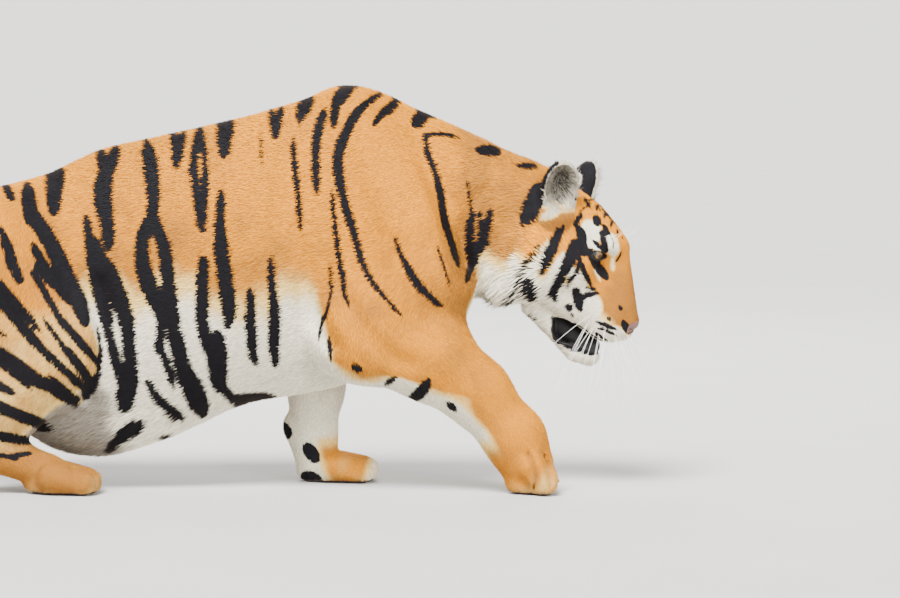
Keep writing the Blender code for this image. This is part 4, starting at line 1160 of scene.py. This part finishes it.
# %% All markings of a set of points
def markings(p, normal, region, limbs):
    """Stripe, in metres inside, and pale, bare and tone, 0 to 1, of points of the skin."""
    hide = Hide(p, normal, region, limbs)
    stripe, pale, tone = body_stripes(hide), pale_body(hide), tones(hide)
    bare = ((hide.z < 0.007) & (normal[:, 2] < -0.5)).astype(float)     # the soles

    ahead = into_head(p) > -0.005
    on_head = p[ahead]
    q = skull.inward(on_head)
    half = halved(q)
    face = within(half, face_lines)
    fade = ramp(into_head(on_head), 0.0, 0.03)
    face_stripe = np.maximum(np.where(fade > 0.5, -FELT, stripe[ahead]), face)
    face_white = np.maximum(pale_face(on_head, q, half), pale[ahead] * (1 - fade))
    face_tone = mix(tone[ahead], 0.85 - 0.75 * ramp(q[:, 0], 0.02, 0.09), fade)
    ears = hide.on("ear")[ahead]
    ear_stripe, ear_white, ear_tone = ear_marks(half)
    stripe[ahead] = np.where(ears, np.maximum(ear_stripe, face), face_stripe)
    pale[ahead] = np.where(ears, np.maximum(ear_white, face_white), face_white)
    tone[ahead] = np.where(ears, ear_tone, face_tone)
    bare[ahead] = bare_face(q, half)
    return stripe, pale, bare, tone


# %% Write the values on a mesh
def write(mesh, **values):
    """Each value as an attribute of the mesh's points, for the materials to read."""
    for name, data in values.items():
        data = np.asarray(data, np.float32)
        kind = "FLOAT_VECTOR" if data.ndim == 2 else "FLOAT"
        attribute = mesh.attributes.new(name, kind, "POINT")
        attribute.data.foreach_set("vector" if data.ndim == 2 else "value", data.ravel())


def vertices_of(mesh):
    places, normals = np.empty(len(mesh.vertices) * 3), np.empty(len(mesh.vertices) * 3)
    mesh.vertices.foreach_get("co", places)
    mesh.vertices.foreach_get("normal", normals)
    return places.reshape(-1, 3), normals.reshape(-1, 3)


for skin in skins.values():
    places, normals = vertices_of(skin.data)
    _, _, lie, region, limbs = clay.survey(places - SHIFT)
    stripe, pale, bare, tone = markings(places - SHIFT, normals, region, limbs)
    write(skin.data, stripe=stripe, pale=pale, bare=bare, tone=tone, lie=lie)
    shares = [float(round(share.mean(), 2)) for share in (stripe > 0, pale > 0.6)]
    print(skin.name, "is striped over", shares[0], "of its points and pale over", shares[1])


# %% [markdown]
# ## Coat and skin materials
# Hair is a rough fibre with a soft sheen, darker at the root. One recipe makes both materials, so
# that skin and tufts agree: orange that varies a little, white where pale is high, near black
# inside a stripe, and bare leather on the nose, lids, lips and pads. A noise frays the edges of the
# stripes on the skin, while each tuft is one colour, as a lock of hair is.

# %% A material recipe
ORANGE, DEEP_ORANGE = (0.80, 0.300, 0.001, 1), (0.40, 0.165, 0.022, 1)
# the grey is the white in painted shade
CREAM, WHITE, PAINTED_SHADE_GREY = (0.96, 0.68, 0.22, 1), (0.98, 0.95, 0.76, 1), (0.30, 0.28, 0.23, 1)
BLACK, LEATHER, LIP_BLACK_AND_MOUTH_SHADE = (0.006, 0.006, 0.009, 1), (0.17, 0.085, 0.070, 1), (0.008, 0.007, 0.007, 1)


class Recipe:
    """A short way to write down a node tree."""

    def __init__(self, name):
        self.material = bpy.data.materials.new(name)
        self.material.use_nodes = True
        self.tree = self.material.node_tree
        self.surface = self.tree.nodes["Principled BSDF"]

    def node(self, kind, inputs=(), **settings):
        made = self.tree.nodes.new(kind)
        for key, value in settings.items():
            setattr(made, key, value)
        for key, value in dict(inputs).items():
            self.feed(made.inputs[key], value)
        return made

    def feed(self, socket, value):
        if isinstance(value, bpy.types.NodeSocket):
            self.tree.links.new(value, socket)
        else:
            socket.default_value = value

    def value(self, name):
        return self.node("ShaderNodeAttribute", attribute_name=name).outputs["Fac"]

    def math(self, operation, a, b=0.0):
        return self.node("ShaderNodeMath", {0: a, 1: b}, operation=operation).outputs[0]

    def blend(self, factor, a, b, way="MIX"):
        made = self.node("ShaderNodeMix", {0: factor, 6: a, 7: b}, data_type="RGBA", blend_type=way)
        return made.outputs[2]

    def tinted(self, colour, tint):
        return self.blend(1.0, colour, (*tint, 1), "MULTIPLY")

    def rise(self, value, low, high):
        made = self.node("ShaderNodeMapRange", {"Value": value, "From Min": low, "From Max": high})
        made.interpolation_type = "SMOOTHSTEP"
        return made.outputs["Result"]

    def noise(self, scale, detail=2.0, vector=None):
        inputs = {"Scale": scale, "Detail": detail}
        inputs["Vector"] = vector or self.node("ShaderNodeTexCoord").outputs["Object"]
        return self.node("ShaderNodeTexNoise", inputs).outputs["Fac"]

    def set(self, **inputs):
        for key, value in inputs.items():
            self.feed(self.surface.inputs[key.replace("_", " ")], value)


# %% Hair colour, for skin and for tufts
def coat_colour(recipe, fray):
    """The marked colour. Fray is how far noise moves a stripe's edge, in metres."""
    tone = recipe.math("ADD", recipe.value("tone"), recipe.math("MULTIPLY", recipe.noise(14, 5), 1.1))
    orange = recipe.blend(recipe.rise(tone, 0.55, 1.45), DEEP_ORANGE, ORANGE)
    pale = recipe.math("ADD", recipe.value("pale"), recipe.math("MULTIPLY", recipe.noise(26), 0.4))
    cream = recipe.blend(recipe.rise(pale, 0.25, 0.75), orange, CREAM)
    # where the tone is low the white turns grey, which is painted shade
    white_in_painted_shade = recipe.blend(recipe.rise(tone, 0.40, -0.40), WHITE, PAINTED_SHADE_GREY)
    white = recipe.blend(recipe.rise(pale, 0.70, 1.15), cream, white_in_painted_shade)
    edge = recipe.math("MULTIPLY", recipe.math("SUBTRACT", recipe.noise(140), 0.5), fray)
    inside = recipe.math("ADD", recipe.value("stripe"), edge)
    return recipe.blend(recipe.rise(inside, -0.0008, 0.0010), white, BLACK)


skin_recipe = Recipe("tiger_skin")
marked = coat_colour(skin_recipe, 0.004)
# painted shade: the skin between the locks is the marked colour darkened, as the coat shades it
painted_shade_under_coat = skin_recipe.tinted(marked, (0.62, 0.58, 0.55))
bare_value = skin_recipe.value("bare")
# away from the nose the bare skin is black: the real black of lips and lids, and over the whole inside of the
# mouth a painted shade
leather = skin_recipe.blend(skin_recipe.value("dark"), LEATHER, LIP_BLACK_AND_MOUTH_SHADE)
mottled = skin_recipe.blend(skin_recipe.rise(skin_recipe.noise(900), 0.45, 0.7), leather, LIP_BLACK_AND_MOUTH_SHADE)
skin_colour = skin_recipe.blend(bare_value, painted_shade_under_coat, skin_recipe.blend(0.35, leather, mottled))
skin_recipe.set(Base_Color=skin_colour, Specular_IOR_Level=0.25)
skin_recipe.set(Roughness=skin_recipe.rise(bare_value, 2.2, -0.1))
grain = skin_recipe.node("ShaderNodeBump", {"Strength": 0.35, "Distance": 0.0012})
skin_recipe.feed(grain.inputs["Height"], skin_recipe.noise(520, 3))
skin_recipe.set(Normal=grain.outputs["Normal"])

hair_recipe = Recipe("tiger_hair")
marked = coat_colour(hair_recipe, 0.0)
own = hair_recipe.rise(hair_recipe.value("own"), -0.25, 1.0)
varied = hair_recipe.blend(own, hair_recipe.tinted(marked, (0.62, 0.55, 0.50)), marked)
towards_tip = hair_recipe.rise(hair_recipe.value("along"), -0.4, 0.9)
shaded = hair_recipe.blend(towards_tip, hair_recipe.tinted(varied, (0.60, 0.54, 0.52)), varied)
hair_recipe.set(Base_Color=shaded, Roughness=0.65, Specular_IOR_Level=0.10)
hair_recipe.set(Sheen_Weight=0.05, Sheen_Roughness=0.5, Sheen_Tint=(1.0, 0.62, 0.30, 1))
print("materials:", skin_recipe.material.name, hair_recipe.material.name)

# %% Skin takes its material and the solids' places
flesh_of_head = ["head", "jaw", "nose", "left_ear", "right_ear"]
flesh_of_body = [n for n in nodes if n not in flesh_of_head and not n.endswith("_eye")]
for part, flesh in (("head", flesh_of_head), ("body", flesh_of_body)):
    skin = skins[part]
    places, _ = vertices_of(skin.data)
    q = skull.inward(places - SHIFT)
    near_nose = ramp(nose_leather.distance(halved(q)), 0.004, 0.001)
    write(skin.data, dark=1 - near_nose if part == "head" else np.full(len(q), 0.8))
    skin.data.materials.append(skin_recipe.material)
    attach(skin, "root")
    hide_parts(*flesh)
    print(skin.name, "takes the place of", len(flesh), "solids")

# %% [markdown]
# ## The coat
# Hair grows in small locks. Each lock here is a closed wedge of four triangles: two roots, a ridge
# between them and one tip, laid along the coat's lie and lifted a little. A third of a million of
# them overlap like thatch. Particle hair would be quicker to make, but it is lost when the model is
# exported, and real meshes stay. The ruff and the belly get longer locks with a bend in them.

# %% Where locks grow
def faces_of(mesh):
    corners = np.empty(len(mesh.loops), np.int64)
    mesh.loops.foreach_get("vertex_index", corners)
    return corners.reshape(-1, 4)


TRUNK_PARTS = (("rump", -9.0, -0.44), ("flanks", -0.44, -0.17), ("ribs", -0.17, 0.07),
               ("shoulders", 0.07, 0.27), ("neck", 0.27, 9.0))


def coat_piece_names(p, region):
    """The coat piece that each face belongs to."""
    names = np.array(REGIONS, dtype=object)[region]
    on_trunk = region == REGIONS.index("trunk")
    for name, low, high in TRUNK_PARTS:
        names[on_trunk & (p[:, 0] >= low) & (p[:, 0] < high)] = name
    ahead = into_head(p) > 0
    on_right = skull.inward(p)[:, 1] < 0
    for side, here in (("right", ahead & on_right), ("left", ahead & ~on_right)):
        names[here] = side + "_face"
        names[here & (region == REGIONS.index("ear"))] = side + "_ear"
    return names


# %% Roots scattered over the faces of a piece
def scatter(corners, normals, uv, spacing):
    """Random roots on square faces, about spacing apart, with the skin's normal and the place in the
    unwrap there. Corners, normals and uv hold four rows for each face."""
    a, b, c, d = (corners[:, i] for i in range(4))
    crosses = np.cross(b - a, c - a), np.cross(c - a, d - a)        # twice each triangle's area
    area = sum(np.linalg.norm(cross, axis=1) for cross in crosses) / 2
    wanted = area / spacing**2
    count = np.floor(wanted + dice.random(len(wanted))).astype(int)
    pick = np.repeat(np.arange(len(corners)), count)
    u, v = dice.random((2, len(pick), 1))

    def at(values):
        a, b, c, d = (values[pick, i] for i in range(4))
        return mix(mix(a, b, u), mix(d, c, u), v)

    normal = at(normals)
    return at(corners), normal / np.linalg.norm(normal, axis=1)[:, None], at(uv)


def unwrapped(name, places, faces):
    """An unwrap of one piece's own skin, as the corner coordinates of its faces."""
    used, index = np.unique(faces, return_inverse=True)
    mesh = smooth_mesh("patch", places[used], index.reshape(-1, 4))
    patch = shown(name + "_patch", mesh)
    bpy.context.view_layer.objects.active = patch
    patch.select_set(True)
    bpy.ops.object.mode_set(mode="EDIT")
    bpy.ops.mesh.select_all(action="SELECT")
    bpy.ops.uv.smart_project(angle_limit=radians(66), island_margin=0.004)
    bpy.ops.object.mode_set(mode="OBJECT")
    uv = np.empty(len(mesh.loops) * 2)
    mesh.uv_layers[0].data.foreach_get("uv", uv)
    bpy.data.objects.remove(patch)
    return uv.reshape(-1, 4, 2)


# %% The values at the roots
DENSITY = 1.2
LONG_HAIR = 0.021                       # longer locks have a knee


def flattened(lie, normal):
    """The part of each lie that runs along the skin."""
    return lie - (lie * normal).sum(1)[:, None] * normal


def rooted(name, skin, faces):
    """The roots of one piece of the coat, where hair grows, with their values by name."""
    places, normals = vertices_of(skin.data)
    uv = unwrapped(name, places, faces)
    hair = clay.survey(places[faces].mean(1) - SHIFT)[1]
    spacing = (0.00145 + 0.068 * np.clip(hair, 0.003, 0.018)) * DENSITY
    root, normal, home = scatter(places[faces], normals[faces], uv, spacing)
    p = root - SHIFT
    _, length, lie, region, limbs = clay.survey(p)
    bare = markings(p, normal, region, limbs)[2]
    half_way = p + 0.5 * length[:, None] * flattened(lie, normal)
    stripe, pale, _, tone = markings(half_way, normal, region, limbs)
    grows = bare < 0.4
    if "face" in name or "ear" in name:
        q = skull.inward(p)
        grows &= (mouth_distance(q) > 0.0015) & (eye_ball.distance(halved(q)) > 0.002)
    values = {"root": root, "p": p, "normal": normal, "home": home, "lie": lie, "length": length,
              "stripe": stripe, "pale": pale, "tone": tone}
    return {key: value[grows] for key, value in values.items()}


def combed(name, hair):
    """Hair with a length and a rise of its own for each lock, longer in the ruff and in the ears."""
    p, length, count = hair["p"], hair["length"], len(hair["p"])
    length = np.where(length < LONG_HAIR, length * 0.78, length) * dice.uniform(0.75, 1.2, count)
    ruff = ramp(p[:, 0], 0.36, 0.41) * ramp(p[:, 2], 0.50, 0.44) * ramp(p[:, 2], 0.33, 0.37)
    length *= 1 + 0.55 * ruff
    rise = dice.uniform(0.10, 0.38, count)
    if "ear" in name:           # longer, looser hair fills the hollow of the ear
        filled = ear_hollow.distance(halved(skull.inward(p))) < 0.004
        length = np.where(filled, length * 1.9, length)
        rise = np.where(filled, rise + 0.45, rise)
    hair["lie"] = unit_rows(hair["lie"] - ruff[:, None] * (0, 0, 0.8))
    hair["length"] = length
    hair["lift"] = np.arcsin(np.clip(0.0012 / length + rise, 0, 0.9))       # every tip stands clear
    hair["width"] = 0.0010 + 0.095 * np.clip(length, 0.003, 0.022)
    hair["stripe"] = hair["stripe"] + dice.normal(0, 0.0010, count)
    hair["own"] = dice.random(count)
    return hair


# %% One lock, short or bent
UV_PATCH = 0.003            # how much of the texture one lock takes up
SHORT = {"faces": ((0, 3, 2), (1, 2, 3), (0, 2, 1), (0, 1, 3)),
         "share": (0, 0, 0.3, 1), "side": (-1, 1, 0, 0),
         "square": ((0, 0), (1, 0), (0.5, 0.5), (0.5, 1))}
LONG = {"faces": ((0, 3, 5), (0, 5, 2), (1, 2, 5), (1, 5, 4), (0, 2, 1), (0, 1, 4), (0, 4, 3),
                  (3, 6, 5), (4, 5, 6), (3, 4, 6)),
        "share": (0, 0, 0.05, 0.5, 0.5, 0.5, 1), "side": (-1, 1, 0, -1, 1, 0, 0),
        "square": ((0, 0), (1, 0), (0.5, 0.2), (0, 0.5), (1, 0.5), (0.5, 0.6), (0.5, 1))}
print("triangles of a short lock:", len(SHORT["faces"]), "and of a long one:", len(LONG["faces"]))


def locks(hair, pattern):
    """Corners of every lock and the shading normal at each, lock after lock."""
    normal = hair["normal"]
    length, width, lift = (hair[key][:, None] for key in ("length", "width", "lift"))
    along = unit_rows(flattened(hair["lie"], normal))
    turn = dice.normal(0, 0.16, len(normal))[:, None]
    side = np.cross(normal, along)
    along = along * np.cos(turn) + side * np.sin(turn)
    side = np.cross(normal, along)
    half, ridge = side * width / 2, normal * width * 0.45
    reach = along * np.cos(lift) + normal * np.sin(lift)
    root = hair["root"] - normal * 0.0006           # the roots sit a little under the skin
    corners = [root - half, root + half]
    if pattern is SHORT:
        corners += [root + ridge + reach * length * 0.25, root + reach * length]
    else:
        knee = root + reach * length * 0.5
        flat = unit_rows(reach - normal * np.sin(lift) * 1.3 + (0, 0, -0.40))
        corners += [root + ridge, knee - half * 0.8, knee + half * 0.8, knee + ridge * 0.8,
                    knee + flat * length * 0.55]
    shade = [unit_rows(normal + side * s * 0.55) for s in pattern["side"]]
    return np.stack(corners, 1).reshape(-1, 3), np.stack(shade, 1).reshape(-1, 3)


def lock_rows(hair, pattern):
    """Everything a mesh needs for the locks of one pattern, with a row for each corner."""
    corners, shade = locks(hair, pattern)
    count, per = len(hair["root"]), len(pattern["share"])
    faces = np.array(pattern["faces"])[None] + per * np.arange(count)[:, None, None]
    spread = np.repeat(hair["home"], per, 0)
    spread += UV_PATCH * (np.tile(pattern["square"], (count, 1)) - 0.5)
    rows = {key: np.repeat(hair[key], per) for key in ("stripe", "pale", "tone", "own")}
    return {**rows, "corners": corners, "shade": shade, "spread": spread,
            "along": np.tile(pattern["share"], count), "faces": faces.reshape(-1, 3)}


# %% A whole piece of the coat
def coat_mesh(name, hair):
    """The locks of one piece as one mesh, the short ones first."""
    parts, total = [], 0
    for pattern, chosen in ((SHORT, hair["length"] <= LONG_HAIR), (LONG, hair["length"] > LONG_HAIR)):
        if chosen.any():
            parts.append(lock_rows({key: value[chosen] for key, value in hair.items()}, pattern))
            parts[-1]["faces"] += total
            total += len(parts[-1]["corners"])
    rows = {key: np.concatenate([part[key] for part in parts]) for key in parts[0]}
    corners, faces = rows["corners"], rows["faces"]
    corners[:, 2] = np.maximum(corners[:, 2], -SHIFT[2] + 0.0004)       # no lock goes into the floor
    mesh = smooth_mesh(name, corners, faces)
    layer = mesh.uv_layers.new(name="OFBake")
    uv = np.clip(rows["spread"], 0.001, 0.999)[faces.ravel()]
    layer.data.foreach_set("uv", uv.astype(np.float32).ravel())
    write(mesh, **{key: rows[key] for key in ("stripe", "pale", "tone", "own", "along")})
    mesh.normals_split_custom_set_from_vertices(rows["shade"].tolist())
    mesh.materials.append(hair_recipe.material)
    return mesh


def coat_piece(name, skin, faces):
    """One piece of the coat in the scene, and how many triangles it has."""
    mesh = coat_mesh("coat_" + name, combed(name, rooted(name, skin, faces)))
    thing = shown("coat_" + name, mesh)
    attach(thing, "root")
    return len(mesh.polygons)


# %% Grow the coat, piece by piece
grown = {}
for part, skin in skins.items():
    faces = faces_of(skin.data)
    places, _ = vertices_of(skin.data)
    middle = places[faces].mean(1) - SHIFT
    names = coat_piece_names(middle, clay.survey(middle)[3])
    uncovered = (into_head(middle) > 0) == (part == "head")
    for name in sorted(set(names[uncovered])):
        grown[name] = coat_piece(name, skin, faces[(names == name) & uncovered])
print("triangles of the coat:", grown, "in all", sum(grown.values()))

# %% [markdown]
# ## Eyes
# A tiger's eye is a wet ball with a round pupil in a golden iris, ringed by black. It is turned as
# a sphere with its pole along the gaze, so rings of colour follow the angle from that pole, and the
# clear front bulges a little. An image would need unwrapping; the angle is already there.

# %% Eye balls
def eye_material():
    recipe = Recipe("wet_eye")
    turn = recipe.value("turn")
    iris = recipe.blend(recipe.rise(turn, 0.20, 0.60), (0.20, 0.095, 0.020, 1), (0.07, 0.030, 0.008, 1))
    flecks = recipe.blend(recipe.rise(recipe.noise(700, 2), 0.4, 0.7), iris, (0.25, 0.15, 0.035, 1))
    ringed = recipe.blend(recipe.rise(turn, 0.50, 0.60), flecks, (0.010, 0.008, 0.006, 1))
    pupil = recipe.blend(recipe.rise(turn, 0.22, 0.26), (0.002, 0.002, 0.002, 1), ringed)
    recipe.set(Base_Color=pupil, Roughness=0.25, Coat_Weight=0.2, Coat_Roughness=0.03)
    return recipe.material


def eye_mesh(name, mirror):
    """A ball that looks along the gaze, with the angle from its pole as the value turn."""
    ball = bmesh.new()
    bmesh.ops.create_uvsphere(ball, u_segments=48, v_segments=32, radius=EYE_RADIUS)
    turn = []
    for vertex in ball.verts:
        angle = vertex.co.angle(Vector((0, 0, 1)))
        turn.append(angle)
        vertex.co *= 1 + 0.035 * float(ramp(angle, 0.75, 0.35))     # the clear front bulges
    look = skull.turn @ (gaze * mirror)
    centre = skull.outward(EYE * mirror) + SHIFT
    aim = Vector(look).to_track_quat("Z", "Y").to_matrix().to_4x4()
    bmesh.ops.transform(ball, matrix=Matrix.Translation(centre) @ aim, verts=ball.verts)
    mesh = bpy.data.meshes.new(name)
    ball.to_mesh(mesh)
    ball.free()
    mesh.polygons.foreach_set("use_smooth", np.ones(len(mesh.polygons), bool))
    write(mesh, turn=turn)
    return mesh


wet = eye_material()
for name, mirror in (("left", (1, 1, 1)), ("right", (1, -1, 1))):
    mesh = eye_mesh(name + "_eye_ball", mirror)
    mesh.materials.append(wet)
    eye_piece = shown(name + "_eye_ball", mesh)
    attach(eye_piece, "root")
    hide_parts(name + "_eye")
print("two eyes of", EYE_RADIUS * 2000, "mm")

# %% [markdown]
# ## Whiskers
# Stiff white hairs grow in rows from the pads beside the nose, and a few over each eye. Each is a
# thin curve that tapers to its tip and sags forward and down, which a curve with a bevel gives most
# simply. All of them are then made one mesh.

# %% Whiskers and eyebrow hairs
def whisker(root, way, length, thick, droop):
    """A curve from a root in the head's frame, which sags by droop of its length and tapers."""
    curve = bpy.data.curves.new("whisker", "CURVE")
    curve.dimensions = "3D"
    curve.bevel_depth = thick
    curve.bevel_resolution = 1
    curve.use_fill_caps = True
    spline = curve.splines.new("POLY")
    spline.points.add(8)
    way = unit(way)
    for i, point in enumerate(spline.points):
        t = i / (len(spline.points) - 1)
        place = skull.outward(root) + SHIFT + way * length * t + (0, 0, -droop * length * t * t)
        point.co = (*place, 1)
        point.radius = mix(1.0, 0.25, t)
    return curve


def tube(curve):
    """The mesh of a curve with its bevel."""
    holder = shown("holder", curve)
    graph = bpy.context.evaluated_depsgraph_get()
    mesh = bpy.data.meshes.new_from_object(holder.evaluated_get(graph))
    bpy.data.objects.remove(holder)
    return mesh


hairs = bmesh.new()
for side in (-1, 1):
    for row in range(4):
        for k in range(5):
            root = (0.128 - 0.013 * k, side * (0.040 + 0.005 * k - 0.002 * row), -0.088 - 0.009 * row)
            way = np.array((0.45 - 0.24 * k, side * 0.35, -0.62)) + dice.normal(0, 0.12, 3)
            length = dice.uniform(0.09, 0.13) + 0.014 * k
            hairs.from_mesh(tube(whisker(root, way, length, 0.00050, dice.uniform(0.1, 0.4))))
    for k in range(3):
        root = (0.006 - 0.012 * k, side * (0.046 + 0.004 * k), 0.036)
        way = np.array((0.85 - 0.1 * k, side * 0.35, 0.5 - 0.3 * k))
        hairs.from_mesh(tube(whisker(root, way, 0.055, 0.0004, -0.25)))
bmesh.ops.remove_doubles(hairs, verts=hairs.verts, dist=0.00001)
whisker_mesh = bpy.data.meshes.new("whiskers")
hairs.to_mesh(whisker_mesh)
hairs.free()
bristle = Recipe("white_bristle")
bristle.set(Base_Color=bristle.blend(bristle.noise(60), (0.92, 0.90, 0.85, 1), (0.80, 0.77, 0.70, 1)))
bristle.set(Roughness=0.45)
whisker_mesh.materials.append(bristle.material)
whiskers = shown("whiskers", whisker_mesh)
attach(whiskers, "root")
print("whisker triangles:", len(whisker_mesh.polygons))

# %% [markdown]
# ## Floor, light and camera
# A plain pale floor under soft light shows the coat without distracting from it. Two broad suns shine
# from the camera's side, one high and strong, one low and weak to fill the shadows under the belly.
# A sun lights the floor evenly to the horizon, where a lamp would leave a bright patch. A lamp behind
# draws the line of the back, and the pale sky does the rest.
# The camera is far away with a long lens, which flattens the body as a visitor's zoom does.

# %% The floor
ground = bmesh.new()
bmesh.ops.create_grid(ground, x_segments=1, y_segments=1, size=6000)
floor_mesh = bpy.data.meshes.new("floor")
ground.to_mesh(floor_mesh)
ground.free()
floor = shown("floor", floor_mesh)
plaster = Recipe("pale_floor")
plaster.set(Base_Color=plaster.blend(plaster.noise(3), (0.52, 0.51, 0.495, 1), (0.57, 0.56, 0.545, 1)))
plaster.set(Roughness=0.85)
floor_mesh.materials.append(plaster.material)


# %% The lights
def light(name, kind, way, strength, **settings):
    """A lamp that shines from the way given towards the middle of the body."""
    data = bpy.data.lights.new(name, kind)
    data.energy = strength
    for key, value in settings.items():
        setattr(data, key, value)
    lamp = shown(name, data)
    lamp.location = Vector((0.2, 0, 0.4)) + Vector(way)
    lamp.rotation_euler = Vector(way).to_track_quat("Z", "Y").to_euler()
    lamp.visible_camera = False


light("key", "SUN", (-1.2, -3.2, 4.4), 10.5, angle=radians(24))
light("fill", "SUN", (3.6, -5.8, 1.4), 3.3, angle=radians(24))
light("back", "AREA", (0.0, 3.6, 3.0), 160, size=3.0)
sky = bpy.data.worlds.new("sky")
sky.use_nodes = True
backdrop = sky.node_tree.nodes["Background"]
backdrop.inputs["Color"].default_value = (1.0, 0.98, 0.95, 1)
backdrop.inputs["Strength"].default_value = 1.1
bpy.context.scene.world = sky
print("lamps:", len(bpy.data.lights))

# %% The camera
LENS, ELEVATION = 171.4, radians(4)
look_at = Vector((SIDE_CENTRE[0], 0.0, SIDE_CENTRE[1])) + Vector(SHIFT)
eye_point = look_at + Vector((0, -cos(ELEVATION), sin(ELEVATION))) * SIDE_AWAY
camera_data = bpy.data.cameras.new("camera")
camera_data.lens = LENS
camera_data.clip_end = 20000
camera = shown("camera", camera_data)
camera.location = eye_point
camera.rotation_euler = (look_at - eye_point).to_track_quat("-Z", "Y").to_euler()
bpy.context.scene.camera = camera
print("camera at", [round(v, 2) for v in eye_point])
